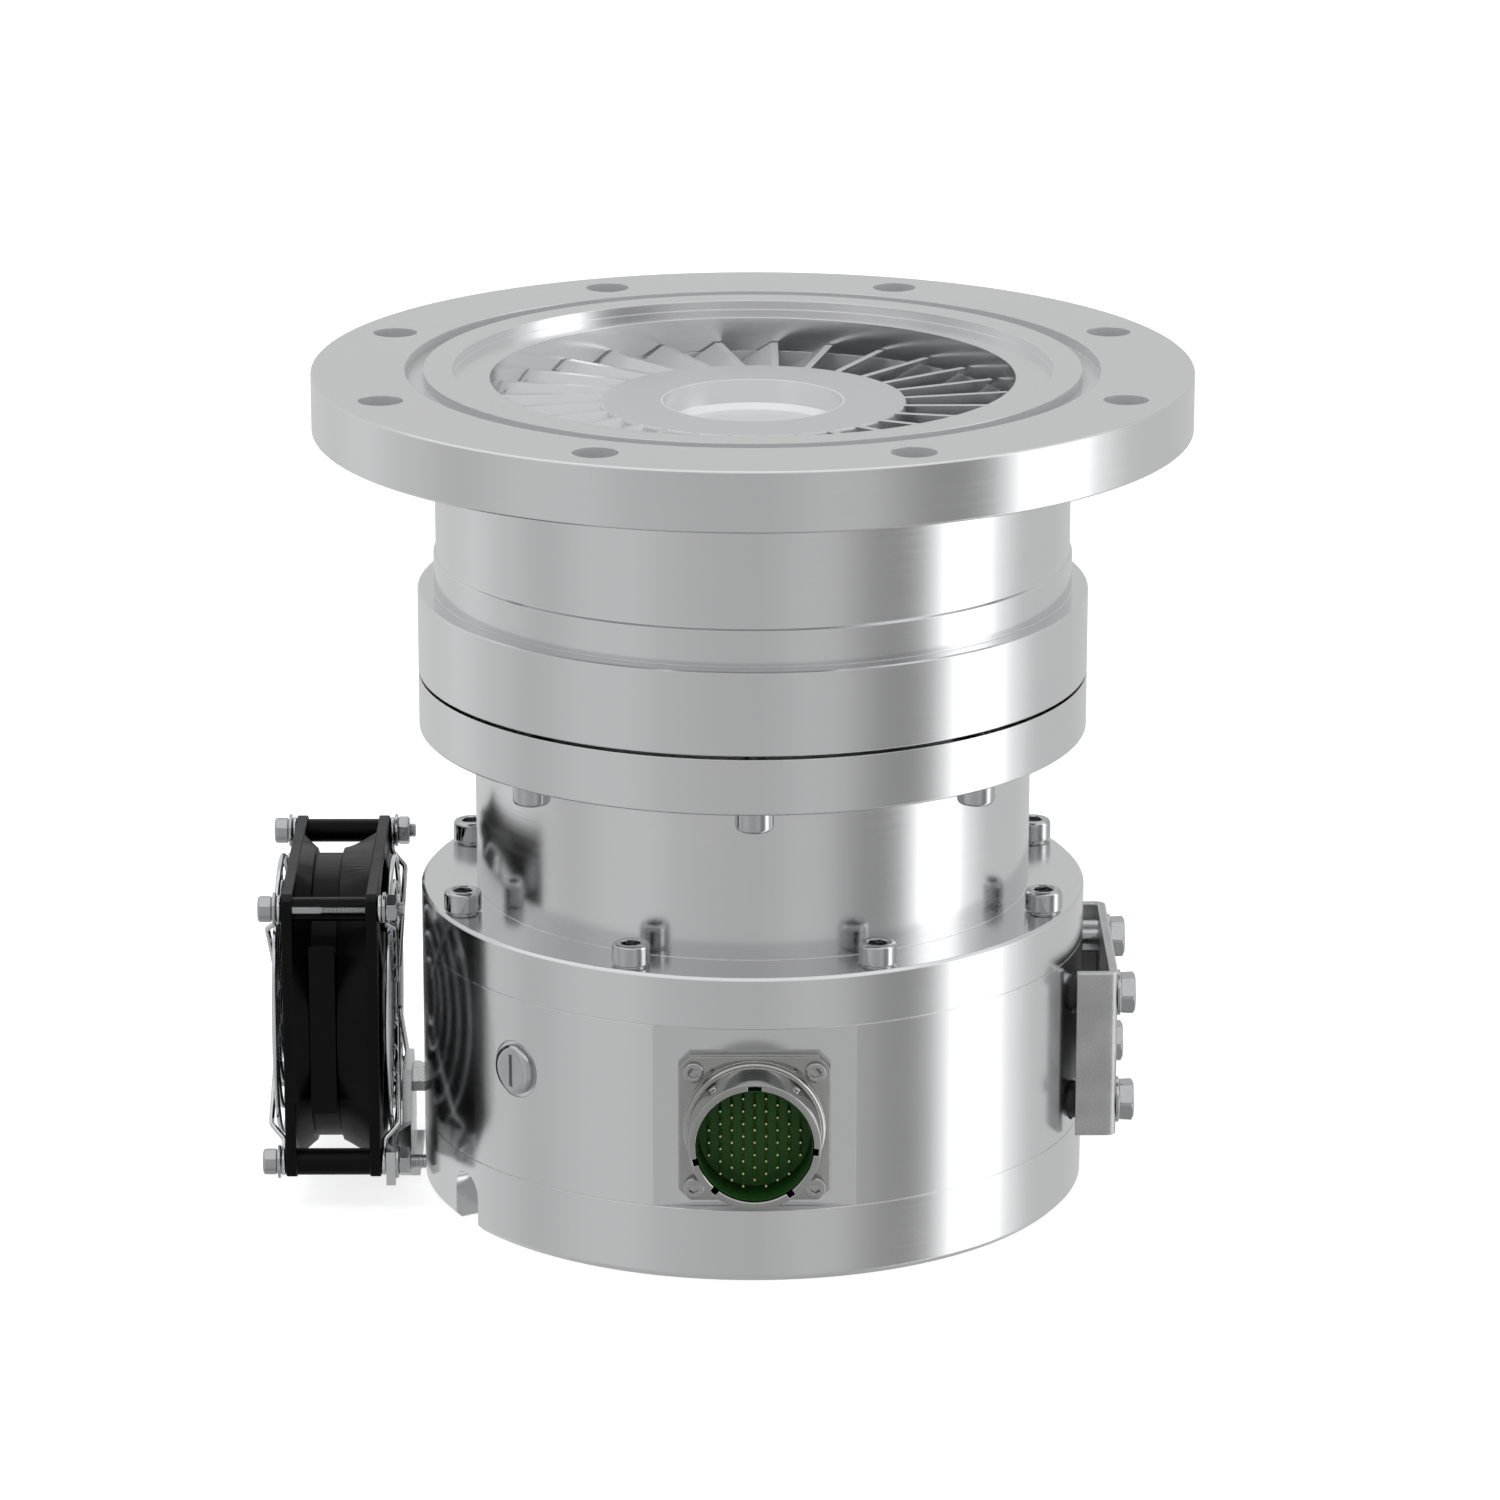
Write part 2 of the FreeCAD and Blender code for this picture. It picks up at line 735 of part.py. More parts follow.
def base_body():
    groove_inner = housing_bore + d.ring_section
    groove_outer = groove_inner + d.ring_section
    groove_floor = z_base - d.ring_depth
    body = turned("base_body", [
        (column_seat, z_cover),
        (body_radius, z_cover),
        (body_radius, z_base),
        (groove_outer, z_base),
        (groove_outer, groove_floor),
        (groove_inner, groove_floor),
        (groove_inner, z_base),
        (housing_bore, z_base),
        (housing_bore, z_floor),
        (column_seat, z_floor),
    ])
    wide = body_radius + d.overcut
    cut_inwards(body, "FrontFlat", "XY_Plane", (0, 0, z_base), lambda sketch: add_outline(sketch, [
        (-wide, -wide), (wide, -wide), (wide, -flat_reach), (-wide, -flat_reach)]),
        d.base_height)
    tapped = d.screw_shank + d.thread_gap * 2
    ring_of_holes(body, "BaseThreads", base_screw_pcd, tapped, z_base,
                  d.thread_depth + d.overcut, HOUSING_SCREWS, HOUSING_SCREW_START)
    ring_of_holes(body, "CoverThreads", cover_screw_pcd,
                  d.cover_screw_shank + d.thread_gap * 2, z_cover, d.thread_depth, INNER_SCREWS,
                  up=True)
    ring_of_holes(body, "ColumnThreads", column_screw_pcd,
                  d.cover_screw_shank + d.thread_gap * 2, z_floor, d.thread_depth, INNER_SCREWS,
                  COLUMN_SCREW_START)
    cut_inwards(body, "ConnectorHole", "XZ_Plane", (0, 0, flat_reach),
                lambda sketch: add_circle(sketch, 0, connector_height, d.shell_radius + d.fit * 2),
                d.shell_tail + d.fit)

    def plate_threads(sketch):
        for x, y in plate_screw_places():
            radius = d.plate_screw_shank / 2 + d.thread_gap
            add_circle(sketch, x, connector_height + y, radius)
    cut_inwards(body, "PlateThreads", "XZ_Plane", (0, 0, flat_reach), plate_threads,
                d.plate_screw_reach + d.overcut)

    reach, turn = azimuth_plane(body_radius, d.purge_azimuth)
    cut_inwards(body, "PurgeSeat", "XZ_Plane", reach,
                lambda sketch: add_circle(sketch, 0, purge_height,
                                          d.purge_head_radius + d.seat_margin),
                body_radius - purge_seat, turn=turn)
    cut_inwards(body, "PurgeHole", "XZ_Plane", reach,
                lambda sketch: add_circle(sketch, 0, purge_height,
                                          d.purge_stem_radius + d.thread_gap),
                body_radius - cavity_radius + d.overcut, turn=turn)
    cut_inwards(body, "PortSeat", "XZ_Plane", (0, 0, -body_radius),
                lambda sketch: add_circle(sketch, 0, port_height,
                                          d.port_collar + d.seat_margin),
                body_radius - port_seat, forward=True)
    cut_inwards(body, "PortHole", "XZ_Plane", (0, 0, -body_radius),
                lambda sketch: add_circle(sketch, 0, port_height, d.port_spigot + d.fit),
                body_radius - cavity_radius + d.port_break, forward=True)

    def side_seats(sketch):
        for y, z in side_bolt_places():
            add_circle(sketch, y, z, d.bush_radius + d.seat_margin)

    def side_threads(sketch):
        for y, z in side_bolt_places():
            add_circle(sketch, y, z, d.side_bolt_shank / 2 + d.thread_gap)
    cut_inwards(body, "SideSeats", "YZ_Plane", (0, 0, body_radius), side_seats,
                body_radius - channel_seat)
    cut_inwards(body, "SideThreads", "YZ_Plane", (0, 0, channel_seat), side_threads,
                d.side_bolt_reach + d.overcut)
    stud_corner = d.stud_flats / math.sqrt(3)
    cut_inwards(body, "StudSeat", "YZ_Plane", (0, 0, -body_radius),
                lambda sketch: add_circle(sketch, 0, stud_height, stud_corner + d.seat_margin),
                body_radius - stud_seat, forward=True)
    cut_inwards(body, "StudThread", "YZ_Plane", (0, 0, -stud_seat),
                lambda sketch: add_circle(sketch, 0, stud_height, d.stud_radius + d.thread_gap),
                d.stud_reach + d.overcut, forward=True)
    tube("base_seal", groove_inner + d.fit, groove_outer - d.fit, groove_floor, d.ring_depth)


# Bottom cover: a shallow dish with the arched slot at its foot

def bottom_cover():
    body = turned("bottom_cover", [
        (0, 0),
        (body_radius - d.foot_chamfer, 0),
        (body_radius, d.foot_chamfer),
        (body_radius, z_cover),
        (body_radius - d.cover_rim, z_cover),
        (body_radius - d.cover_rim, d.cover_floor),
        (0, d.cover_floor),
    ])
    head = d.cover_screw_head + d.screw_clearance
    ring_of_holes(body, "CoverScrewHeads", cover_screw_pcd, head, 0,
                  d.cover_screw_head_height + d.overcut, INNER_SCREWS, up=True)
    ring_of_holes(body, "CoverScrewHoles", cover_screw_pcd,
                  d.cover_screw_shank + d.screw_clearance, z_cover, d.cover_height, INNER_SCREWS)
    ring_of_holes(body, "MountHoles", mount_pcd, d.mount_hole, 0,
                  d.mount_depth, MOUNT_HOLES, MOUNT_HOLE_START, up=True)
    reach, turn = azimuth_plane(body_radius, d.notch_azimuth)
    half = d.notch_width / 2
    spring = d.notch_height - half
    cut_inwards(body, "NotchFoot", "XZ_Plane", reach, lambda sketch: add_outline(sketch, [
        (-half, -d.overcut), (half, -d.overcut), (half, spring), (-half, spring)]),
        d.notch_reach, turn=turn)
    cut_inwards(body, "NotchArch", "XZ_Plane", reach,
                lambda sketch: add_circle(sketch, 0, spring, half), d.notch_reach, turn=turn)


# Turbine stages: a rotor milled from one piece with a sleeve below it for the drag stage, and
# stator discs between its stages, held by spacer rings

def stages():
    """Levels (top, bottom) of the rotor stages and of the stator stages between them."""
    rotor, stator = [], []
    level = z_rotor
    for i in range(ROTOR_STAGES):
        share = i / (ROTOR_STAGES - 1)
        height = d.rotor_stage_first * (1 - share) + d.rotor_stage_last * share
        rotor.append((level, level - height))
        level = level - height - d.stage_gap
        if i < ROTOR_STAGES - 1:
            share = i / (ROTOR_STAGES - 2)
            height = d.stator_stage_first * (1 - share) + d.stator_stage_last * share
            stator.append((level, level - height))
            level = level - height - d.stage_gap
    return rotor, stator


def blade_ring(root, tip, top, bottom, angle, slope):
    """Flat blades at a pitch angle around Z; slope is the side to which they rise."""
    height = number(top) - number(bottom)
    run = height / math.tan(math.radians(angle))
    edge = d.blade_thickness.value / math.sin(math.radians(angle))
    shift = slope * run / 2
    corners = [Vector(root, shift - edge / 2, number(top)),
               Vector(root, shift + edge / 2, number(top)),
               Vector(root, -shift + edge / 2, number(bottom)),
               Vector(root, -shift - edge / 2, number(bottom))]
    face = Part.Face(Part.makePolygon(corners + corners[:1]))
    reach = math.sqrt(tip ** 2 - (run / 2 + edge / 2) ** 2)
    blade = face.extrude(Vector(reach - root, 0, 0))
    count = int(d.blade_count.value)
    return [blade.rotated(Vector(), upright, 360.0 * i / count) for i in range(count)]


def turbine_rotor():
    rotor, _ = stages()
    plate_top = z_rotor - d.hub_recess_depth
    plate_bottom = plate_top - d.hub_plate
    drum_top = rotor[-1][1] - d.stage_gap
    hub = revolved([
        (0, plate_bottom + d.spigot_depth),
        (d.shaft_radius + d.fit, plate_bottom + d.spigot_depth),
        (d.shaft_radius + d.fit, plate_bottom),
        (hub_cavity, plate_bottom),
        (hub_cavity, drum_top - d.drum_flange),
        (drum_bore, drum_top - d.drum_flange),
        (drum_bore, drum_top),
        (hub_radius, drum_top),
        (hub_radius, z_rotor - d.edge_chamfer),
        (hub_radius - d.edge_chamfer, z_rotor),
        (d.hub_recess_radius, z_rotor),
        (d.hub_recess_radius, plate_top + d.recess_chamfer),
        (d.hub_recess_radius - d.recess_chamfer, plate_top),
        (0, plate_top),
    ])
    threads = around(disc(d.shaft_screw_shank / 2 + d.thread_gap, d.shaft_screw_reach + d.overcut),
                     shaft_screw_pcd, plate_bottom, INNER_SCREWS)
    hub = hub.cut(threads)
    root = number(hub_radius - d.blade_root)
    blades = []
    for i, (top, bottom) in enumerate(rotor):
        share = i / (ROTOR_STAGES - 1)
        angle = d.rotor_angle_first.value * (1 - share) + d.rotor_angle_last.value * share
        blades += blade_ring(root, blade_tip.value, top, bottom, angle, -1)
    shaped("turbine_rotor", hub.fuse(blades))
    tube("drag_drum", drum_bore + d.fit, drum_radius, drum_end, drum_top - drum_end)


def stator_discs():
    _, stator = stages()
    rim_inner = d.bore_radius - d.rim_lip
    blade_start = number(stator_inner + d.stator_hub / 2)
    blade_end = number(rim_inner + d.rim_lip / 2)
    split_length = stack_radius * 2 + d.overcut
    for i, (top, bottom) in enumerate(stator):
        share = i / (len(stator) - 1)
        angle = d.stator_angle_first.value * (1 - share) + d.stator_angle_last.value * share
        middle = (number(top) + number(bottom)) / 2
        rim_bottom = middle - d.rim_thickness.value / 2
        rim = washer(stack_radius, rim_inner, d.rim_thickness, rim_bottom)
        hub = washer(stator_inner + d.stator_hub, stator_inner, d.rim_thickness, rim_bottom)
        blades = blade_ring(blade_start, blade_end, top, bottom, angle, 1)
        split = block(split_length, d.split_gap, top - bottom, bottom)
        shaped("stator_disc_%d" % (i + 1), rim.fuse(blades + [hub]).cut(split))


def spacer_rings():
    """Rings from the casing's shoulder down to the drag stator, one between each two discs."""
    rotor, stator = stages()
    top = z_stack
    for i, (disc_top, disc_bottom) in enumerate(stator):
        middle = (disc_top + disc_bottom) / 2
        bottom = middle + d.rim_thickness / 2
        tube("spacer_ring_%d" % (i + 1), d.bore_radius, stack_radius, bottom, top - bottom)
        top = middle - d.rim_thickness / 2
    drag_top = rotor[-1][1] - d.stage_gap
    tube("spacer_ring_%d" % (len(stator) + 1), d.bore_radius, stack_radius, drag_top,
         top - drag_top)


def drag_stator():
    drag_top = stages()[0][-1][1] - d.stage_gap
    turned("drag_stator", [
        (drag_bore, drag_end),
        (cavity_radius, drag_end),
        (cavity_radius, drag_top - d.drag_flange),
        (stack_radius, drag_top - d.drag_flange),
        (stack_radius, drag_top),
        (drag_bore, drag_top),
    ])


# Central column on the base, which carries the bearings and the motor around the shaft

def column_levels():
    """Levels of what the column holds, from its foot up."""
    rotor_plate = z_rotor - d.hub_recess_depth - d.hub_plate
    lower_magnet = z_floor - d.column_drop
    disc_bottom = lower_magnet + d.lower_magnet_height + d.disc_gap
    upper_magnet = disc_bottom + d.disc_height + d.disc_gap
    lower_bearing = upper_magnet + d.upper_magnet_height
    lower_radial = lower_bearing + d.lower_bearing_height + d.inner_spacing
    motor = lower_radial + d.radial_height + d.inner_spacing * 2
    upper_radial = motor + d.motor_height + d.inner_spacing * 2
    top = rotor_plate - d.shaft_flange - d.column_top_gap
    return SimpleNamespace(plate=rotor_plate, lower_magnet=lower_magnet, disc=disc_bottom,
                           upper_magnet=upper_magnet, lower_bearing=lower_bearing,
                           lower_radial=lower_radial, motor=motor, upper_radial=upper_radial,
                           top=top)


def stator_column():
    level = column_levels()
    seat = level.top - d.touchdown_height
    lid = level.top - d.column_lid
    body = turned("stator_column", [
        (column_bore, level.lower_magnet),
        (column_seat - d.fit, level.lower_magnet),
        (column_seat - d.fit, z_floor),
        (column_foot_radius, z_floor),
        (column_foot_radius, z_floor + d.column_foot),
        (column_radius, z_floor + d.column_foot),
        (column_radius, level.top),
        (touchdown_radius + d.fit, level.top),
        (touchdown_radius + d.fit, seat),
        (magnet_bore, seat),
        (magnet_bore, lid),
        (column_bore, lid),
    ])
    ring_of_holes(body, "ColumnScrewHoles", column_screw_pcd,
                  d.cover_screw_shank + d.screw_clearance, z_floor + d.column_foot,
                  d.column_foot, INNER_SCREWS, COLUMN_SCREW_START)
    bore = column_bore - d.fit
    disc_object = doc.addObject("Part::Cylinder", "lower_axial_magnet")
    disc_object.setExpression("Radius", bore.formula)
    disc_object.setExpression("Height", d.lower_magnet_height.formula)
    disc_object.setExpression("Placement.Base.z", level.lower_magnet.formula)
    keep(disc_object, "lower_axial_magnet")
    tube("upper_axial_magnet", magnet_bore, bore, level.upper_magnet, d.upper_magnet_height)
    tube("lower_touchdown_bearing", touchdown_bore, bore, level.lower_bearing,
         d.lower_bearing_height)
    tube("lower_radial_magnet", magnet_bore, bore, level.lower_radial, d.radial_height)
    tube("motor_stator", magnet_bore, bore, level.motor, d.motor_height)
    tube("upper_radial_magnet", magnet_bore, bore, level.upper_radial, d.radial_height)
    tube("upper_touchdown_bearing", touchdown_bore, touchdown_radius, seat,
         d.touchdown_height)


def shaft():
    level = column_levels()
    flange_bottom = level.plate - d.shaft_flange
    shoulder = level.disc + d.disc_height
    body = turned("rotor_shaft", [
        (0, level.disc),
        (disc_bore, level.disc),
        (disc_bore, shoulder),
        (d.shaft_radius, shoulder),
        (d.shaft_radius, flange_bottom),
        (shaft_flange_radius, flange_bottom),
        (shaft_flange_radius, level.plate),
        (d.shaft_radius, level.plate),
        (d.shaft_radius, level.plate + d.spigot_depth),
        (0, level.plate + d.spigot_depth),
    ])
    ring_of_holes(body, "ShaftScrewHoles", shaft_screw_pcd,
                  d.shaft_screw_shank + d.screw_clearance, level.plate, d.shaft_flange, INNER_SCREWS)
    tube("thrust_disc", disc_bore + d.fit, disc_radius, level.disc, d.disc_height)
    tube("motor_magnet", d.shaft_radius + d.fit, sleeve_radius, level.motor, d.motor_height)
    for name, bottom in (("lower", level.lower_radial), ("upper", level.upper_radial)):
        tube(name + "_radial_sleeve", d.shaft_radius + d.fit, sleeve_radius, bottom,
             d.radial_height)


# Screws of the housings

def housing_screws():
    casing = cap_screw(d.screw_shank, d.screw_head, d.screw_head_height, d.screw_hex,
                       d.mid_flange + d.mid_gap + d.thread_depth)
    shaped("casing_screws", around(casing, casing_screw_pcd, z_mid, HOUSING_SCREWS, down=True))
    base = cap_screw(d.screw_shank, d.screw_head, d.screw_head_height, d.screw_hex,
                     d.base_flange + d.thread_depth)
    shaped("base_screws", around(base, base_screw_pcd, z_neck, HOUSING_SCREWS,
                                 HOUSING_SCREW_START))
    recess = d.cover_screw_head_height + d.overcut
    reach = d.thread_depth - d.overcut * 2
    cover = cap_screw(d.cover_screw_shank, d.cover_screw_head, d.cover_screw_head_height,
                      d.cover_screw_hex, d.cover_height - recess + reach)
    shaped("cover_screws", around(cover, cover_screw_pcd, recess, INNER_SCREWS, down=True))
    column = cap_screw(d.cover_screw_shank, d.cover_screw_head, d.cover_screw_head_height,
                       d.cover_screw_hex, d.column_foot + reach)
    shaped("column_screws", around(column, column_screw_pcd, z_floor + d.column_foot,
                                   INNER_SCREWS, COLUMN_SCREW_START))
    level = column_levels()
    rotor = cap_screw(d.shaft_screw_shank, d.shaft_screw_head, d.shaft_screw_head_height,
                      d.shaft_screw_hex, d.shaft_flange + d.shaft_screw_reach)
    shaped("rotor_screws", around(rotor, shaft_screw_pcd, level.plate - d.shaft_flange,
                                  INNER_SCREWS, down=True))


# Connector: square plate with a keyed barrel, recessed insert, 55 pins and four screws

def connector_placement():
    place = Vector(0, -flat_reach.value, connector_height.value)
    return Placement(place, Rotation(Vector(1, 0, 0), 90))


def connector():
    front = d.plate_thickness + d.shell_length
    half = plate_side / 2
    cut = half - d.plate_corner
    body = new_body("connector_shell")
    plate_sketch = sketch_on(body, "PlateSketch", "XY_Plane")
    add_outline(plate_sketch, [(-half, -cut), (-cut, -half), (cut, -half), (half, -cut),
                               (half, cut), (cut, half), (-cut, half), (-half, cut)])
    plate = body.newObject("PartDesign::Pad", "Plate")
    plate.Profile = plate_sketch
    plate.setExpression("Length", d.plate_thickness.formula)
    barrel_sketch = sketch_on(body, "BarrelSketch", "XY_Plane", (0, 0, -d.shell_tail))
    add_circle(barrel_sketch, 0, 0, d.shell_radius)
    barrel = body.newObject("PartDesign::Pad", "Barrel")
    barrel.Profile = barrel_sketch
    barrel.setExpression("Length", (front + d.shell_tail).formula)
    collar_sketch = sketch_on(body, "CollarSketch", "XY_Plane", (0, 0, d.plate_thickness))
    add_circle(collar_sketch, 0, 0, collar_radius)
    collar = body.newObject("PartDesign::Pad", "Collar")
    collar.Profile = collar_sketch
    collar.setExpression("Length", d.collar_height.formula)
    bore = d.shell_radius - d.shell_wall
    cut_inwards(body, "ShellBore", "XY_Plane", (0, 0, front),
                lambda sketch: add_circle(sketch, 0, 0, bore), front + d.shell_tail)

    def screw_holes(sketch):
        for x, y in plate_screw_places():
            add_circle(sketch, x, y, (d.plate_screw_shank + d.screw_clearance) / 2)
    cut_inwards(body, "PlateScrewHoles", "XY_Plane", (0, 0, d.plate_thickness), screw_holes,
                d.plate_thickness)
    for azimuth, width in zip(KEY_AZIMUTHS, KEY_WIDTHS):
        start, end, half = bore - d.key_depth, bore + d.key_depth, width / 2
        cut_inwards(body, "Key%d" % azimuth, "XY_Plane", (0, 0, front),
                    lambda sketch: add_outline(sketch, [(-half, start), (half, start), (half, end),
                                                        (-half, end)]),
                    d.insert_recess, turn=Rotation(upright, -azimuth))
    body.Placement = connector_placement()

    face = front - d.insert_recess
    insert = doc.addObject("Part::Cylinder", "connector_insert")
    insert.Placement = connector_placement().multiply(
        Placement(Vector(0, 0, number(face) - d.insert_depth.value), Rotation()))
    insert.setExpression("Radius", (bore - d.fit).formula)
    insert.setExpression("Height", d.insert_depth.formula)
    insert.setExpression("Placement.Base.y",
                         (-flat_reach - face + d.insert_depth).formula)
    insert.setExpression("Placement.Base.z", connector_height.formula)
    keep(insert, "connector_insert")

    pins = []
    for column, rows in enumerate(PIN_COLUMNS):
        x = (column - (len(PIN_COLUMNS) - 1) / 2) * d.pin_column_pitch.value
        for row in range(rows):
            y = (row - (rows - 1) / 2) * d.pin_row_pitch.value
            pin = hexagon(d.pin_radius * 2, d.pin_length, face)
            pins.append(pin.translated(Vector(x, y, 0)))
    shaped("connector_pins", Part.makeCompound(pins), connector_placement())

    screw = cap_screw(d.plate_screw_shank, d.plate_screw_head, d.plate_screw_head_height,
                      d.plate_screw_hex, d.plate_thickness + d.plate_screw_reach)
    screws = [screw.translated(Vector(number(x), number(y), d.plate_thickness.value))
              for x, y in plate_screw_places()]
    shaped("connector_screws", Part.makeCompound(screws), connector_placement())


# Slotted purge plug and the exhaust port at the back

def purge_plug():
    head = disc(d.purge_head_radius, d.purge_head_height)
    slot = block(d.slot_width, d.purge_head_radius * 2, d.slot_depth,
                 d.purge_head_height - d.slot_depth)
    stem = disc(d.purge_stem_radius, d.purge_stem_length, -d.purge_stem_length)
    azimuth = math.radians(d.purge_azimuth.value)
    seat = purge_seat.value
    place = Vector(seat * math.sin(azimuth), -seat * math.cos(azimuth), purge_height.value)
    turn = Rotation(upright, d.purge_azimuth.value).multiply(Rotation(Vector(1, 0, 0), 90))
    shaped("purge_plug", head.cut(slot).fuse(stem).removeSplitter(), Placement(place, turn))


def exhaust_port():
    collar_top = d.port_collar_height
    rim = d.port_length - d.port_flange_rim
    slope = Size(math.tan(math.radians(d.port_taper.value)), "tan(" + d.port_taper.formula + ")")
    taper = (d.port_flange - d.port_tube) * slope
    spigot_end = cavity_radius + d.port_setback - port_seat
    wide_bore = d.port_bore + d.port_counterbore
    step = d.port_length - d.port_counterbore_depth
    body = turned("exhaust_port", [
        (d.port_bore, spigot_end),
        (d.port_spigot, spigot_end),
        (d.port_spigot, 0),
        (d.port_collar, 0),
        (d.port_collar, collar_top),
        (d.port_tube, collar_top),
        (d.port_tube, rim - taper),
        (d.port_flange, rim),
        (d.port_flange, d.port_length),
        (wide_bore, d.port_length),
        (wide_bore, step),
        (d.port_bore, step),
    ])
    body.Placement = Placement(Vector(0, port_seat.value, port_height.value),
                               Rotation(Vector(1, 0, 0), -90))


# Channel bracket on the right with its spacers, bushes, washers and hexagon bolts

def outwards(x, y, z):
    """Placement at a point, with local Z along +X."""
    return Placement(Vector(number(x), number(y), number(z)), Rotation(Vector(0, 1, 0), 90))


def upright_edges(shape, x):
    """Names of the upright edges of a shape that lie at a given x."""
    return ["Edge%d" % (i + 1) for i, edge in enumerate(shape.Edges)
            if all(abs(vertex.X - x) < 1e-4 for vertex in edge.Vertexes)
            and abs(edge.Vertexes[0].Z - edge.Vertexes[-1].Z) > 1]


def channel_bracket():
    body = new_body("side_bracket")
    half = channel_width / 2
    inner = channel_face - d.channel_depth
    skin = channel_face - d.channel_sheet
    cheek = half - d.channel_sheet
    bottom = channel_middle - d.channel_height / 2
    sketch = sketch_on(body, "ChannelSketch", "XY_Plane", (0, 0, bottom))
    add_outline(sketch, [(inner, -half), (channel_face, -half), (channel_face, half),
                         (inner, half), (inner, cheek), (skin, cheek), (skin, -cheek),
                         (inner, -cheek)])
    pad = body.newObject("PartDesign::Pad", "Channel")
    pad.Profile = sketch
    pad.setExpression("Length", d.channel_height.formula)
    doc.recompute()
    bends = body.newObject("PartDesign::Fillet", "Bends")
    bends.Base = (pad, upright_edges(pad.Shape, channel_face.value))
    bends.setExpression("Radius", d.channel_bend.formula)
    body.Tip = bends

    bore = (d.side_bolt_shank + d.screw_clearance) / 2

    def bolt_holes(sketch):
        for y, z in side_bolt_places():
            add_circle(sketch, y, z, bore)
    cut_inwards(body, "BoltHoles", "YZ_Plane", (0, 0, channel_face), bolt_holes,
                d.channel_sheet + d.overcut)

    spacers, bushes, washers, bolts = [], [], [], []
    bush = washer(d.bush_radius, bore, d.bush_height)
    spacer_seat = channel_seat + d.bush_height
    spacer = washer(d.bush_radius - d.bush_step, bore, skin - spacer_seat)
    plate_washer = washer(d.side_washer_radius, bore, d.side_washer)
    bolt = hex_bolt(d.side_bolt_shank, d.side_bolt_flats, d.side_bolt_head,
                    d.side_washer + channel_face - channel_seat + d.side_bolt_reach)
    for y, z in side_bolt_places():
        bushes.append(bush.transformed(outwards(channel_seat, y, z).toMatrix()))
        spacers.append(spacer.transformed(outwards(spacer_seat, y, z).toMatrix()))
        washers.append(plate_washer.transformed(outwards(channel_face, y, z).toMatrix()))
        bolts.append(bolt.transformed(outwards(channel_face + d.side_washer, y, z).toMatrix()))
    shaped("side_bushes", Part.makeCompound(bushes))
    shaped("side_spacers", Part.makeCompound(spacers))
    shaped("side_washers", Part.makeCompound(washers))
    shaped("side_bolts", Part.makeCompound(bolts))


# Fan: its local Z runs outwards from the inner face, its local Y is up

def fan_placement():
    turn = Rotation(Vector(0, -1, 0), Vector(0, 0, 1), Vector(-1, 0, 0), "ZYX")
    return Placement(Vector(-fan_face.value, 0, fan_height.value), turn)


def fan_corners():
    half = fan_bolt_pitch.value / 2
    return [(x * half, y * half) for y in (-1, 1) for x in (-1, 1)]


def rounded_square(side, corner, height, bottom):
    plate = block(side, side, height, bottom)
    corners = [edge for edge in plate.Edges
               if edge.Vertexes[0].X == edge.Vertexes[-1].X
               and edge.Vertexes[0].Y == edge.Vertexes[-1].Y]
    return plate.makeFillet(number(corner), corners)


def duct_outline():
    """Half section of the duct: wide at both faces, with arcs that run tangent into the neck."""
    depth = d.fan_depth.value
    flange = d.fan_flange.value
    mouth, neck, bore = duct_mouth.value, duct_radius.value, duct_bore.value
    run = d.duct_flare.value
    spread = mouth - neck
    radius = (spread ** 2 + run ** 2) / (2 * spread)
    half_turn = math.acos(1 - spread / radius) / 2
    middle = Vector(neck + radius * (1 - math.cos(half_turn)), 0,
                    flange + run - radius * math.sin(half_turn))
    flare = [Vector(mouth, 0, flange), middle, Vector(neck, 0, flange + run)]
    lower = Part.Arc(*flare).toShape()
    upper = Part.Arc(*[Vector(p.x, 0, depth - p.z) for p in flare]).toShape()
    line = Part.makeLine
    edges = [line(Vector(bore, 0, 0), Vector(mouth, 0, 0)),
             line(Vector(mouth, 0, 0), Vector(mouth, 0, flange)),
             lower,
             line(Vector(neck, 0, flange + run), Vector(neck, 0, depth - flange - run)),
             upper,
             line(Vector(mouth, 0, depth - flange), Vector(mouth, 0, depth)),
             line(Vector(mouth, 0, depth), Vector(bore, 0, depth)),
             line(Vector(bore, 0, depth), Vector(bore, 0, 0))]
    return Part.Face(Part.Wire(Part.__sortEdges__(edges)))


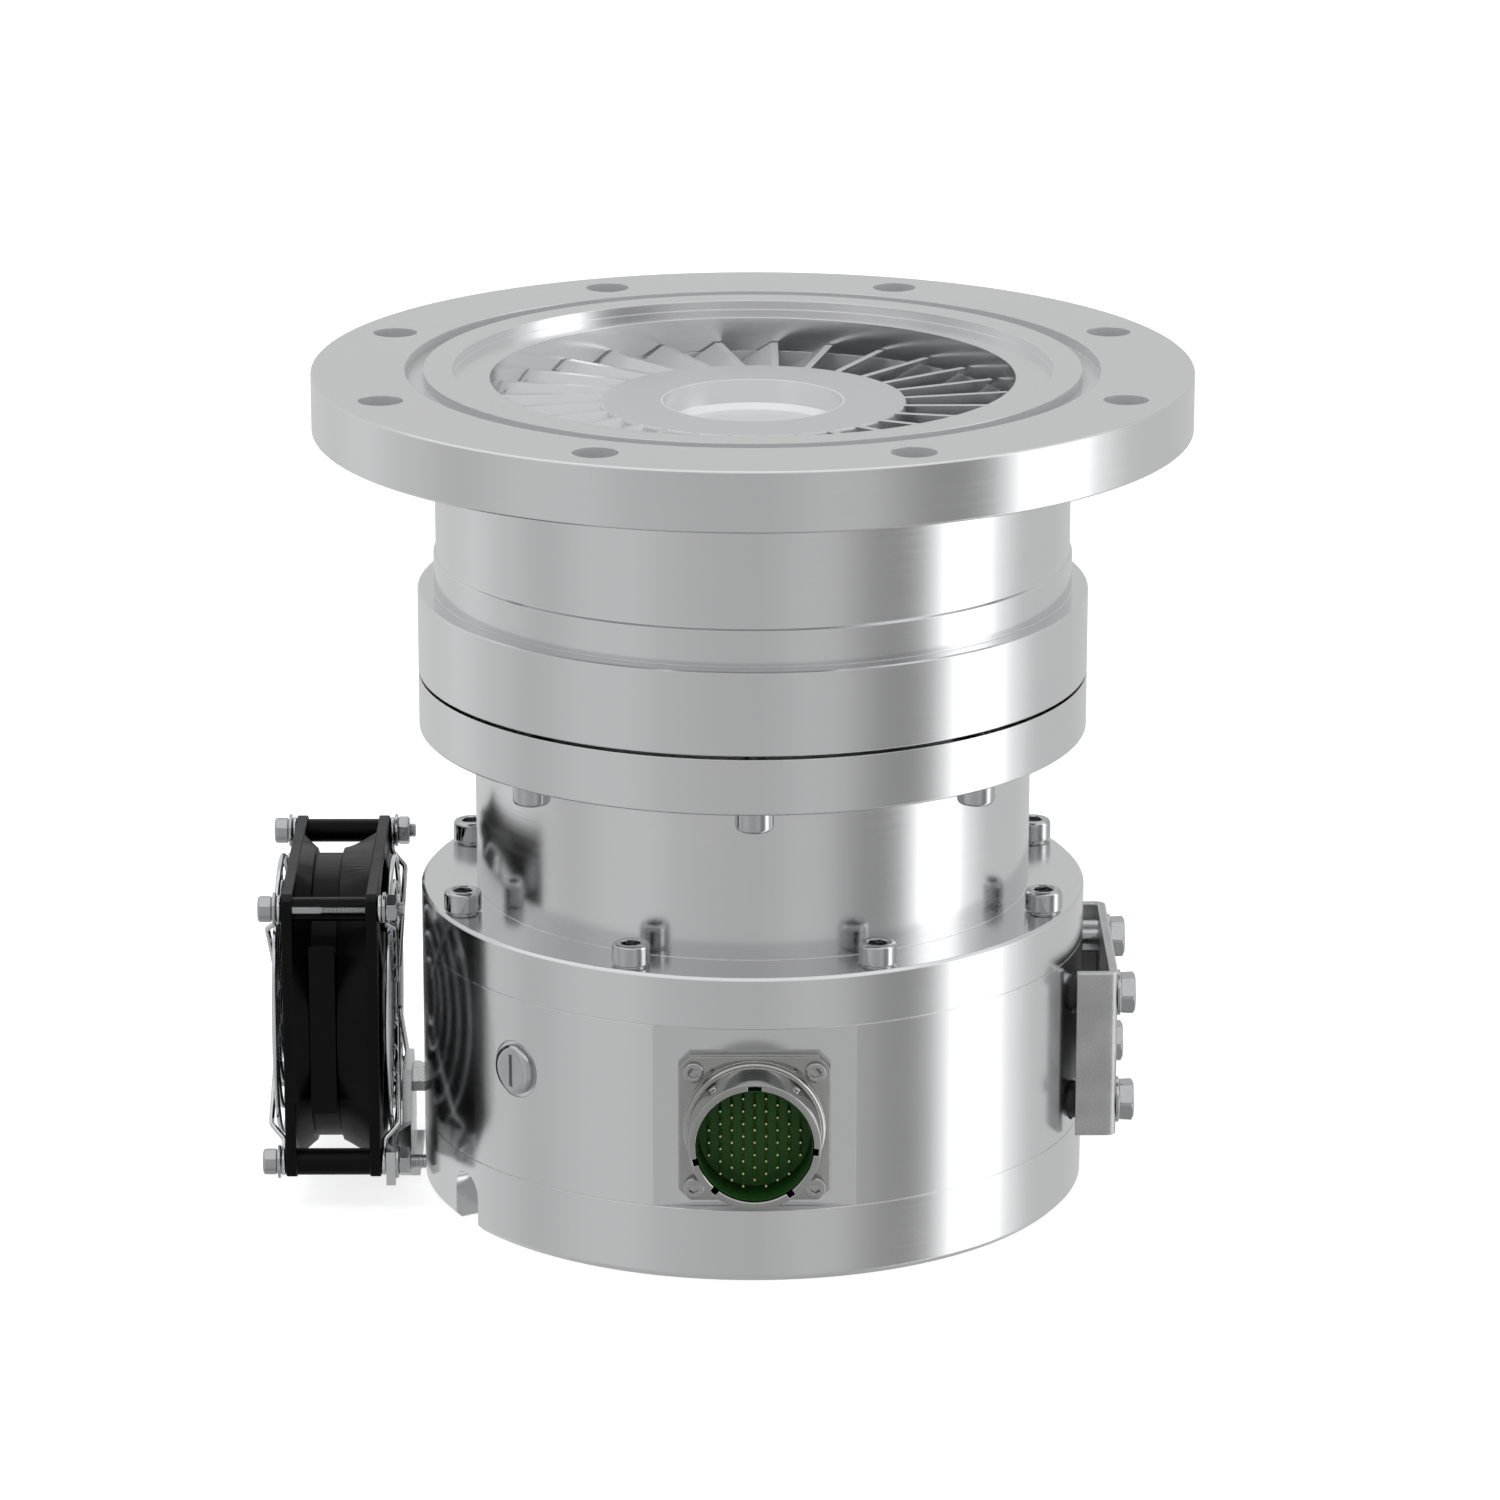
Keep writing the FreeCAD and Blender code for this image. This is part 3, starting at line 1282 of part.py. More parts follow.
def fan_frame():
    depth = d.fan_depth.value
    bore = disc(duct_bore, depth)
    side = d.fan_side.value
    duct = duct_outline().revolve(Vector(), upright, 360).common(block(side, side, depth))
    parts = []
    for bottom in (0.0, depth - d.fan_flange.value):
        parts.append(rounded_square(side, d.fan_corner, d.fan_flange, bottom))
    for x, y in fan_corners():
        if y < 0:
            parts.append(disc(d.post_radius, depth).translated(Vector(x, y, 0)))
    frame = duct.fuse(parts).cut(bore)
    for x, y in fan_corners():
        frame = frame.cut(disc(fan_hole / 2, depth).translated(Vector(x, y, 0)))
    struts = []
    for i in range(4):
        reach = number(duct_bore + d.strut_root)
        strut = Part.makeBox(reach, d.fan_strut.value, d.fan_plate.value,
                             Vector(0, -d.fan_strut.value / 2, 0))
        struts.append(strut.rotated(Vector(), upright, 45 + 90 * i))
    motor_plate = disc(d.fan_hub_radius, d.fan_plate)
    bearing = disc(d.bearing_tube, impeller_end - d.impeller_wall - d.bearing_gap - d.fan_plate, d.fan_plate)
    frame = frame.fuse(struts + [motor_plate, bearing])
    frame = frame.cut(disc(d.fan_shaft_radius + d.thread_gap, depth))
    shaped("fan_frame", frame.removeSplitter(), fan_placement())
    coil = washer(d.fan_hub_radius - d.coil_gap, d.bearing_tube + d.fit, d.coil_height,
                  d.fan_plate)
    shaped("fan_motor_stator", coil, fan_placement())


def fan_impeller():
    hub_bottom, hub_top = impeller_start.value, impeller_end.value
    wall = d.impeller_wall.value
    hub = disc(d.impeller_hub, hub_top - hub_bottom, hub_bottom)
    hub = hub.cut(disc(d.impeller_hub - wall, hub_top - hub_bottom - wall, hub_bottom))
    angle = math.radians(d.impeller_angle.value)
    blade_top = hub_top - d.impeller_inset.value
    blade_bottom = hub_bottom + d.impeller_inset.value
    run = (blade_top - blade_bottom) / math.tan(angle)
    edge = d.impeller_blade.value / math.sin(angle)
    root = d.impeller_hub.value - wall / 2
    stations = [(run / 2, blade_top), (-d.impeller_camber.value, (blade_top + blade_bottom) / 2),
                (-run / 2, blade_bottom)]
    front = [Vector(root, y - edge / 2, z) for y, z in stations]
    back = [Vector(root, y + edge / 2, z) for y, z in reversed(stations)]
    face = Part.Face(Part.makePolygon(front + back + front[:1]))
    tip = disc(impeller_tip, hub_top)
    inside = disc(d.impeller_hub - wall, hub_top - wall)
    blade = face.extrude(Vector(impeller_tip.value, 0, 0)).common(tip).cut(inside)
    count = int(d.impeller_blades.value)
    blades = [blade.rotated(Vector(), upright, 360.0 * i / count) for i in range(count)]
    wheel = hub.fuse(blades).cut(disc(d.fan_shaft_radius + d.fit, hub_top))
    shaped("fan_impeller", wheel, fan_placement())
    pin = disc(d.fan_shaft_radius, impeller_end - d.overcut, d.overcut)
    shaped("fan_shaft", pin, fan_placement())


def wire_ring(radius, level):
    """A ring of wire, drawn with a diamond section."""
    r, half, z = number(radius), d.wire.value / 2, number(level)
    return revolved([(r, z - half), (r + half, z), (r, z + half), (r - half, z)])


def fan_guard(label, face, outward):
    """Wire guard on one face of the fan: rings, four spokes and a loop at each bolt."""
    wire = d.wire.value
    rise = d.guard_rise.value
    spoke_level = rise - wire
    ring_level = spoke_level - wire / 2 + d.guard_weld.value
    first, last = d.guard_ring_first.value, guard_ring_last.value
    count = int(d.guard_rings.value)
    pitch = (last - first) / (count - 1)
    rings = [wire_ring(first + pitch * i, ring_level) for i in range(count)]
    corner = fan_bolt_pitch.value / math.sqrt(2)
    loop_inner = d.fan_bolt_shank.value / 2 + d.guard_loop_gap.value
    loop_outer = loop_inner + wire
    knee = last + wire
    foot = corner - d.guard_foot.value
    end = corner - loop_inner - d.guard_weld.value
    bend = wire * math.tan(math.atan2(spoke_level, foot - knee) / 2)
    run = [Vector(first - wire / 2, 0, spoke_level), Vector(knee, 0, spoke_level),
           Vector(foot, 0, 0), Vector(end, 0, 0), Vector(end, 0, wire),
           Vector(foot + bend, 0, wire), Vector(knee + bend, 0, rise),
           Vector(first - wire / 2, 0, rise)]
    face_shape = Part.Face(Part.makePolygon([p + Vector(0, -wire / 2, 0) for p in run + run[:1]]))
    spoke = face_shape.extrude(Vector(0, wire, 0))
    loop = washer(loop_outer, loop_inner, wire).translated(Vector(corner, 0, 0))
    parts = []
    for i in range(4):
        parts.append(spoke.rotated(Vector(), upright, 45 + 90 * i))
        parts.append(loop.rotated(Vector(), upright, 45 + 90 * i))
    guard = rings[0].fuse(rings[1:] + parts)
    flip = Rotation() if outward else Rotation(Vector(1, 0, 0), 180)
    place = fan_placement().multiply(Placement(Vector(0, 0, number(face)), flip))
    shaped(label, guard, place)


def fan_fasteners():
    """Bolts through the fan, a washer under each head and each nut."""
    head_seat = d.fan_depth + d.wire + d.fan_washer
    bolts, washers, nuts = [], [], []
    bore = d.fan_bolt_shank / 2 + d.guard_loop_gap
    for x, y in fan_corners():
        lower = y < 0
        stack = d.wire + d.sheet if lower else d.wire
        end = d.fan_bolt_end_lower if lower else d.fan_bolt_end_upper
        length = head_seat + stack + d.fan_washer + d.fan_nut + end
        bolt = cap_screw(d.fan_bolt_shank, d.fan_bolt_head, d.fan_bolt_head_height,
                         d.fan_bolt_hex, length)
        bolts.append(bolt.translated(Vector(x, y, number(head_seat))))
        outer_washer = washer(d.fan_washer_radius, bore, d.fan_washer, head_seat - d.fan_washer)
        inner_washer = washer(d.fan_washer_radius, bore, d.fan_washer, -stack - d.fan_washer)
        nut_level = -stack - d.fan_washer - d.fan_nut
        nut = hexagon(d.fan_nut_flats, d.fan_nut, nut_level)
        nut = nut.cut(disc(d.fan_bolt_shank / 2 + d.thread_gap, d.fan_nut, nut_level))
        for shape, group in ((outer_washer, washers), (inner_washer, washers), (nut, nuts)):
            group.append(shape.translated(Vector(x, y, 0)))
    shaped("fan_bolts", Part.makeCompound(bolts), fan_placement())
    shaped("fan_washers", Part.makeCompound(washers), fan_placement())
    shaped("fan_nuts", Part.makeCompound(nuts), fan_placement())


# Sheet bracket that holds the fan's two lower bolts and stands off the base on a stud

def fan_bracket():
    outer = -(fan_face - d.wire)
    inner = outer + d.sheet
    web_outer = outer + d.web_offset
    web_inner = web_outer + d.sheet
    half = d.fan_side / 2
    web = d.web_half_width
    start, end = d.joggle_start, d.joggle_end
    body = new_body("fan_bracket")
    strip = sketch_on(body, "StripSketch", "XY_Plane", (0, 0, strip_lower))
    add_outline(strip, [
        (outer, -half), (outer, -end), (web_outer, -start), (web_outer, start), (outer, end),
        (outer, half), (inner, half), (inner, end), (web_inner, start), (web_inner, -start),
        (inner, -end), (inner, -half)])
    arms = body.newObject("PartDesign::Pad", "Arms")
    arms.Profile = strip
    arms.setExpression("Length", d.strip_width.formula)
    web_sketch = sketch_on(body, "WebSketch", "YZ_Plane", (0, 0, web_outer))
    top = web_top
    shoulder = strip_lower + d.strip_width
    add_outline(web_sketch, [
        (-web, web_bottom), (web, web_bottom), (web, shoulder), (d.web_top_half_width, top),
        (-d.web_top_half_width, top), (-web, shoulder)])
    web_pad = body.newObject("PartDesign::Pad", "Web")
    web_pad.Profile = web_sketch
    web_pad.setExpression("Length", d.sheet.formula)
    foot_sketch = sketch_on(body, "FootSketch", "XY_Plane", (0, 0, web_bottom))
    reach = -(body_radius + d.foot_gap)
    add_outline(foot_sketch, [(web_outer, -web), (reach, -web), (reach, web), (web_outer, web)])
    foot = body.newObject("PartDesign::Pad", "Foot")
    foot.Profile = foot_sketch
    foot.setExpression("Length", d.sheet.formula)
    bolt_level = fan_height - fan_bolt_pitch / 2

    def bolt_holes(sketch):
        for side in (-1, 1):
            add_circle(sketch, fan_bolt_pitch / 2 * side, bolt_level, fan_hole / 2)
    cut_inwards(body, "BoltHoles", "YZ_Plane", (0, 0, outer), bolt_holes, d.sheet,
                forward=True)
    cut_inwards(body, "StudHole", "YZ_Plane", (0, 0, web_outer),
                lambda sketch: add_circle(sketch, 0, stud_height, d.stud_radius + d.thread_gap),
                d.sheet, forward=True)

    seat = -stud_seat.value
    collar = hexagon(d.stud_flats, seat - web_inner.value)
    length = d.stud_reach.value + seat - web_outer.value
    rod = disc(d.stud_radius, length, -d.sheet.value)
    place = outwards(web_inner, 0, stud_height)
    shaped("fan_stud", collar.fuse(rod).removeSplitter(), place)


# Checks and files

def check_document():
    """Stops if any feature failed, if a cut removed nothing or if a sub-part has no valid shape."""
    doc.recompute()
    for item in doc.Objects:
        if "Invalid" in item.State or "Error" in item.State:
            raise RuntimeError(item.Label + " failed: " + ", ".join(item.State))
    for item in doc.Objects:
        if item.TypeId == "PartDesign::Pocket":
            before = item.BaseFeature.Shape.Volume
            if not item.Shape.Volume < before - 0.01:
                raise RuntimeError(item.Label + " removes nothing")
    for node in nodes:
        shape = node.Shape
        if shape.isNull() or not shape.isValid() or not shape.Solids:
            raise RuntimeError(node.Label + " has no valid solid")


def write_files():
    os.makedirs("parts", exist_ok=True)
    for node in nodes:
        node.Shape.exportStep("parts/" + node.Label + ".step")
        print(node.Label, len(node.Shape.Solids), round(node.Shape.Volume / 1000, 2), "cm3")


inlet_casing()
pump_housing()
base_body()
bottom_cover()
housing_screws()
spacer_rings()
stator_discs()
drag_stator()
stator_column()
turbine_rotor()
shaft()
connector()
purge_plug()
exhaust_port()
channel_bracket()
fan_frame()
fan_impeller()
fan_guard("fan_guard_outer", d.fan_depth, True)
fan_guard("fan_guard_inner", 0, False)
fan_fasteners()
fan_bracket()
check_document()
write_files()
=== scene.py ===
import math

import bmesh
import bpy
import numpy as np
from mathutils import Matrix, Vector


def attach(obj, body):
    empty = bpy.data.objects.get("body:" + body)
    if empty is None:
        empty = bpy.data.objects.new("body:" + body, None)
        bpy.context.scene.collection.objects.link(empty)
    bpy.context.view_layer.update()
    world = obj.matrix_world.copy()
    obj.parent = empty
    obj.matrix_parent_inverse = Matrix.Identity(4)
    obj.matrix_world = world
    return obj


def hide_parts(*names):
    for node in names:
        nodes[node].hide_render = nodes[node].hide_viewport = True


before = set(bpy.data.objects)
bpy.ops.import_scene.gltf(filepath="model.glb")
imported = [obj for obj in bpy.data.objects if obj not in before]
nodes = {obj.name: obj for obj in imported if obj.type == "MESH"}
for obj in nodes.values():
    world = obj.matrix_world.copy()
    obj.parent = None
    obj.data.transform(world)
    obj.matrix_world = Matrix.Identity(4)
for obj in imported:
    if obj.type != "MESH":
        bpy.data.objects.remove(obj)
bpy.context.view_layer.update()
mm = 0.001

# The studio: the pump stands on a white table, seen from the front and about 16 degrees above.
# A long lens stands 1.76 m away, and its line of sight meets the pump's axis 119 mm up.
scene = bpy.context.scene
lens = bpy.data.cameras.new("long_lens")
lens.sensor_width, lens.lens = 36.0, 156.35
lens.clip_start, lens.clip_end = 0.05, 50.0
camera = bpy.data.objects.new("camera", lens)
camera.location = (-0.00897, -1.6918, 0.6168)
camera.rotation_euler = (Vector((-0.00073, 0.0, 0.1193)) - camera.location).to_track_quat("-Z", "Y").to_euler()
scene.collection.objects.link(camera)
scene.camera = camera
scene.view_settings.view_transform = "Standard"


def linear(code):
    """Linear colour of an sRGB hex code: the cube-like sRGB curve, straight near black."""
    shares = [int(code[i:i + 2], 16) / 255 for i in (1, 3, 5)]
    return tuple(s / 12.92 if s <= 0.04045 else ((s + 0.055) / 1.055) ** 2.4 for s in shares) + (1.0,)


def add(tree, kind, inputs=None, **settings):
    """Adds one node: settings are its properties, inputs give each socket a value or an output."""
    node = tree.nodes.new(kind)
    for name, value in settings.items():
        setattr(node, name, value)
    for name, value in (inputs or {}).items():
        if isinstance(value, bpy.types.NodeSocket):
            tree.links.new(value, node.inputs[name])
        else:
            node.inputs[name].default_value = value
    return node


def empty_tree(owner):
    """The node tree of a material or world, with nothing in it."""
    owner.use_nodes = True
    owner.node_tree.nodes.clear()
    return owner.node_tree


world = bpy.data.worlds.new("white_studio")
scene.world = world
tree = empty_tree(world)
path = add(tree, "ShaderNodeLightPath")
seen = add(tree, "ShaderNodeMath", {0: path.outputs["Is Camera Ray"], 1: path.outputs["Is Glossy Ray"]},
           operation="MAXIMUM")
seen = add(tree, "ShaderNodeMath", {0: seen.outputs[0], 1: path.outputs["Is Transmission Ray"]}, operation="MAXIMUM")
shade = add(tree, "ShaderNodeMix", {0: seen.outputs[0], 6: linear("#DCDDDF"), 7: (1.0, 1.0, 1.0, 1.0)},
            data_type="RGBA")
sky = add(tree, "ShaderNodeBackground", {"Color": shade.outputs[2], "Strength": 1.0})
add(tree, "ShaderNodeOutputWorld", {"Surface": sky.outputs[0]})


def softbox(name, place, target, width, height, watts):
    """A plain rectangular lamp that faces a point; neither the camera nor the metal sees it."""
    lamp = bpy.data.lights.new(name, "AREA")
    lamp.shape, lamp.size, lamp.size_y, lamp.energy = "RECTANGLE", width, height, watts
    stand = bpy.data.objects.new(name, lamp)
    stand.location = place
    stand.rotation_euler = (Vector(target) - stand.location).to_track_quat("-Z", "Y").to_euler()
    stand.visible_camera = False
    stand.visible_glossy = False
    scene.collection.objects.link(stand)


softbox("softbox_above", (-0.5, -0.7, 1.6), (0.0, 0.0, 0.1), width=1.0, height=1.0, watts=8.0)
softbox("softbox_right", (1.3, -0.5, 0.5), (0.0, 0.0, 0.1), width=0.5, height=1.2, watts=4.0)


def new_mesh(name, vertices, faces):
    """A mesh from arrays of corners and faces."""
    mesh = bpy.data.meshes.new(name)
    mesh.from_pydata(np.asarray(vertices, float).tolist(), [], [tuple(f) for f in faces])
    mesh.update()
    return mesh


def grid_faces(rows, columns, closed=False):
    """Quads of a grid of points kept row after row; closed joins the last column to the first."""
    wide = columns if closed else columns - 1
    row, column = np.meshgrid(np.arange(rows - 1), np.arange(wide), indexing="ij")
    after = (column + 1) % columns
    quads = [row * columns + column, row * columns + after, (row + 1) * columns + after, (row + 1) * columns + column]
    return np.stack(quads, -1).reshape(-1, 4)


# The table is white laminate, flat and matt, and the pump stands on it. It fades to the white of the
# room, and only a soft shadow shows.
half_table, table_level = 4.0, -0.0002
table_sides = ((-1, -1), (1, -1), (1, 1), (-1, 1))
table_corners = [(x * half_table, y * half_table, table_level) for x, y in table_sides]
table_top = new_mesh("table", table_corners, [(0, 1, 2, 3)])
table = bpy.data.objects.new("table", table_top)
scene.collection.objects.link(table)
laminate = bpy.data.materials.new("white_laminate")
tree = empty_tree(laminate)
place = add(tree, "ShaderNodeTexCoord")
fleck = add(tree, "ShaderNodeTexNoise", {"Vector": place.outputs["Object"], "Scale": 40.0, "Detail": 3.0})
tint = add(tree, "ShaderNodeMix", {0: fleck.outputs[0], 6: linear("#C8C8C9"), 7: linear("#CECECE")}, data_type="RGBA")
matt = add(tree, "ShaderNodeBsdfDiffuse", {"Color": tint.outputs[2]})
path = add(tree, "ShaderNodeLightPath")
seen = add(tree, "ShaderNodeMath", {0: path.outputs["Is Camera Ray"], 1: path.outputs["Is Transmission Ray"]},
           operation="MAXIMUM")
# For the camera the laminate also glows with 0.78 of white, which makes it fade.
lift = add(tree, "ShaderNodeMath", {0: seen.outputs[0], 1: 0.78}, operation="MULTIPLY")
glow = add(tree, "ShaderNodeEmission", {"Color": (1.0, 1.0, 1.0, 1.0), "Strength": lift.outputs[0]})
both = add(tree, "ShaderNodeAddShader", {0: matt.outputs[0], 1: glow.outputs[0]})
add(tree, "ShaderNodeOutputMaterial", {"Surface": both.outputs[0]})
table_top.materials.append(laminate)
table.visible_glossy = False

# The studio wall stands round the table and below it, where only polished metal mirrors it.
# It is white with a bright window on the right and a grey stretch beside the camera, and it gets
# darker towards the ground.
wall_turn = np.radians(np.arange(0, 360, 3))
wall_rings = ((0.1, -4.0), (3.0, -4.0), (3.0, 2.4))
wall_points = np.stack([np.stack([r * np.sin(wall_turn), -r * np.cos(wall_turn), 0 * wall_turn + h], -1)
                        for r, h in wall_rings])
wall_mesh = new_mesh("studio_wall", wall_points.reshape(-1, 3),
                     grid_faces(len(wall_rings), len(wall_turn), closed=True))
wall = bpy.data.objects.new("studio_wall", wall_mesh)
scene.collection.objects.link(wall)
cloth = bpy.data.materials.new("studio_wall_cloth")
tree = empty_tree(cloth)
place = add(tree, "ShaderNodeTexCoord")
apart = add(tree, "ShaderNodeSeparateXYZ", {0: place.outputs["Object"]})
back = add(tree, "ShaderNodeMath", {0: apart.outputs[1], 1: -1.0}, operation="MULTIPLY")
compass = add(tree, "ShaderNodeMath", {0: apart.outputs[0], 1: back.outputs[0]}, operation="ARCTAN2")
around = add(tree, "ShaderNodeMapRange", {"Value": compass.outputs[0], "From Min": -math.pi, "From Max": math.pi})
ramp = add(tree, "ShaderNodeValToRGB", {"Fac": around.outputs[0]})
# Degrees from the camera's side, counted to the right, and how bright the wall is there.
stops = [(-180, 0.66), (-140, 0.7), (-118, 0.78), (-98, 0.66), (-80, 0.57), (-58, 0.66), (-44, 0.66),
         (-28, 0.57), (-8, 0.53), (6, 0.53), (18, 0.6), (29, 0.58), (37, 0.46), (45, 0.35), (54, 0.33),
         (61, 0.45), (68, 1.0), (74, 2.0), (89, 2.0), (98, 1.0), (112, 0.66), (140, 0.64), (180, 0.66)]
brightest = 2.0
ramp.color_ramp.interpolation = "EASE"
while len(ramp.color_ramp.elements) < len(stops):
    ramp.color_ramp.elements.new(0.5)
for element, (degrees, level) in zip(ramp.color_ramp.elements, stops):
    element.position = (degrees + 180) / 360
    element.color = (level / brightest, level / brightest, level / brightest, 1.0)
ground = add(tree, "ShaderNodeMapRange", {"Value": apart.outputs[2], "From Min": -1.5, "From Max": -4.0,
                                          "To Min": brightest, "To Max": 0.75 * brightest})
glow = add(tree, "ShaderNodeEmission", {"Color": ramp.outputs[0], "Strength": ground.outputs[0]})
add(tree, "ShaderNodeOutputMaterial", {"Surface": glow.outputs[0]})
wall_mesh.materials.append(cloth)
wall.visible_camera = wall.visible_diffuse = wall.visible_shadow = wall.visible_transmission = False

# The four housings are aluminium bar, turned on a lathe and polished. The tool leaves rings round
# the axis that only just show, and edges are broken. Bores are painted brighter, a painted light
# against the shade inside them. The polish mirrors the room a little softly, and a light line is
# painted along each edge as a painted highlight.


def edge_of(tree, width):
    """A rounded normal for the edges, and how near a point is to an edge, from 0 to 1: how far the
    rounded normal's dot product with the surface's own has fallen from 0.998 to 0.85."""
    rounded = add(tree, "ShaderNodeBevel", {"Radius": width}, samples=4)
    surface = add(tree, "ShaderNodeNewGeometry")
    facing = add(tree, "ShaderNodeVectorMath", {0: rounded.outputs[0], 1: surface.outputs["Normal"]},
                 operation="DOT_PRODUCT")
    near = add(tree, "ShaderNodeMapRange", {"Value": facing.outputs["Value"], "From Min": 0.998, "From Max": 0.85})
    return rounded.outputs[0], near.outputs[0]


polished = bpy.data.materials.new("polished_aluminium")
tree = empty_tree(polished)
place = add(tree, "ShaderNodeTexCoord")
apart = add(tree, "ShaderNodeSeparateXYZ", {0: place.outputs["Object"]})
level = add(tree, "ShaderNodeCombineXYZ", {0: apart.outputs[0], 1: apart.outputs[1]})
reach = add(tree, "ShaderNodeVectorMath", {0: level.outputs[0]}, operation="LENGTH")
# The tool moves 0.1 mm a turn. Its rings are drawn 0.9 mm apart, because finer ones don't show.
ring_pitch = 0.9 * mm
lathe = add(tree, "ShaderNodeCombineXYZ", {0: reach.outputs["Value"], 1: apart.outputs[2]})
rings = add(tree, "ShaderNodeTexNoise", {"Vector": lathe.outputs[0], "Scale": 1 / ring_pitch, "Detail": 2.0},
            noise_dimensions="2D")
haze = add(tree, "ShaderNodeTexNoise", {"Vector": place.outputs["Object"], "Scale": 1 / (30 * mm), "Detail": 4.0})
rounded, near = edge_of(tree, 0.45 * mm)
# Distance from the middle of the nearest of the eight flange holes.
holes, hole_circle, hole_radius = 8, 105 * mm, 6.2 * mm
compass = add(tree, "ShaderNodeMath", {0: apart.outputs[1], 1: apart.outputs[0]}, operation="ARCTAN2")
fold = add(tree, "ShaderNodeMath", {0: compass.outputs[0], 1: math.pi / holes}, operation="PINGPONG")
off = add(tree, "ShaderNodeMath", {0: fold.outputs[0], 1: math.pi / holes}, operation="SUBTRACT")
across = add(tree, "ShaderNodeMath", {0: off.outputs[0], 1: reach.outputs["Value"]}, operation="MULTIPLY")
along = add(tree, "ShaderNodeMath", {0: reach.outputs["Value"], 1: hole_circle}, operation="SUBTRACT")
apart_from = add(tree, "ShaderNodeCombineXYZ", {0: across.outputs[0], 1: along.outputs[0]})
gap = add(tree, "ShaderNodeVectorMath", {0: apart_from.outputs[0]}, operation="LENGTH")
drilled = add(tree, "ShaderNodeMath", {0: gap.outputs["Value"], 1: hole_radius}, operation="LESS_THAN")
# The bores are the faces that look in towards the axis; below they get a painted light.
outward = add(tree, "ShaderNodeVectorMath", {0: level.outputs[0]}, operation="NORMALIZE")
surface = add(tree, "ShaderNodeNewGeometry")
facing = add(tree, "ShaderNodeVectorMath", {0: outward.outputs[0], 1: surface.outputs["True Normal"]},
             operation="DOT_PRODUCT")
painted_bore_light = add(tree, "ShaderNodeMath", {0: facing.outputs["Value"], 1: -0.5}, operation="LESS_THAN")
# The seal groove lies between radii of 84 and 93 mm, and below the flange's face at 226 mm.
groove_radius, groove_half_width = 88.5 * mm, 4.5 * mm
groove_level, groove_half_depth = 221.8 * mm, 4 * mm
beside = add(tree, "ShaderNodeMath", {0: reach.outputs["Value"], 1: groove_radius, 2: groove_half_width},
             operation="COMPARE")
under = add(tree, "ShaderNodeMath", {0: apart.outputs[2], 1: groove_level, 2: groove_half_depth}, operation="COMPARE")
groove = add(tree, "ShaderNodeMath", {0: beside.outputs[0], 1: under.outputs[0]}, operation="MULTIPLY")
dull = add(tree, "ShaderNodeMath", {0: drilled.outputs[0], 1: groove.outputs[0]}, operation="MAXIMUM")
plain = add(tree, "ShaderNodeMix", {0: haze.outputs[0], 6: linear("#DADBDC"), 7: linear("#DFDFE0")}, data_type="RGBA")
# Painted light: faces that look in towards the axis get the brighter #EDEDEE.
bore_light_colour = add(tree, "ShaderNodeMix", {0: painted_bore_light.outputs[0], 6: plain.outputs[2], 7: linear("#EDEDEE")}, data_type="RGBA")
# The drilled holes and the seal groove are cut, not polished: most of their light is scattered.
cut = add(tree, "ShaderNodeMix", {0: dull.outputs[0], 6: bore_light_colour.outputs[2], 7: linear("#CACACB")}, data_type="RGBA")
shiny = add(tree, "ShaderNodeMath", {0: dull.outputs[0], 1: -0.75, 2: 1.0}, operation="MULTIPLY_ADD")
# Painted highlight: a near-white line along each edge.
colour = add(tree, "ShaderNodeMix", {0: near, 6: cut.outputs[2], 7: linear("#F0F0F0")}, data_type="RGBA")
blend = add(tree, "ShaderNodeMath", {0: rings.outputs[0], 1: haze.outputs[0]}, operation="MULTIPLY")
rough = add(tree, "ShaderNodeMapRange", {"Value": blend.outputs[0], "From Min": 0.1, "From Max": 0.45, "To Min": 0.16,
                                         "To Max": 0.22})
grooves = add(tree, "ShaderNodeBump", {"Height": rings.outputs[0], "Strength": 0.1, "Distance": 0.02 * mm,
                                       "Normal": rounded})
metal = add(tree, "ShaderNodeBsdfPrincipled", {"Base Color": colour.outputs[2], "Metallic": shiny.outputs[0],
                                               "Roughness": rough.outputs[0], "Normal": grooves.outputs[0]})
add(tree, "ShaderNodeOutputMaterial", {"Surface": metal.outputs[0]})


def dress(material, *names):
    """Puts one material on some CAD nodes."""
    for name in names:
        mesh = nodes[name].data
        mesh.materials.clear()
        mesh.materials.append(material)


dress(polished, "inlet_casing", "pump_housing", "base_body", "bottom_cover")

# Seal rings of fluoro rubber lie between the housings, one in the middle joint and one on the base.
# They are moulded, dull and nearly black.


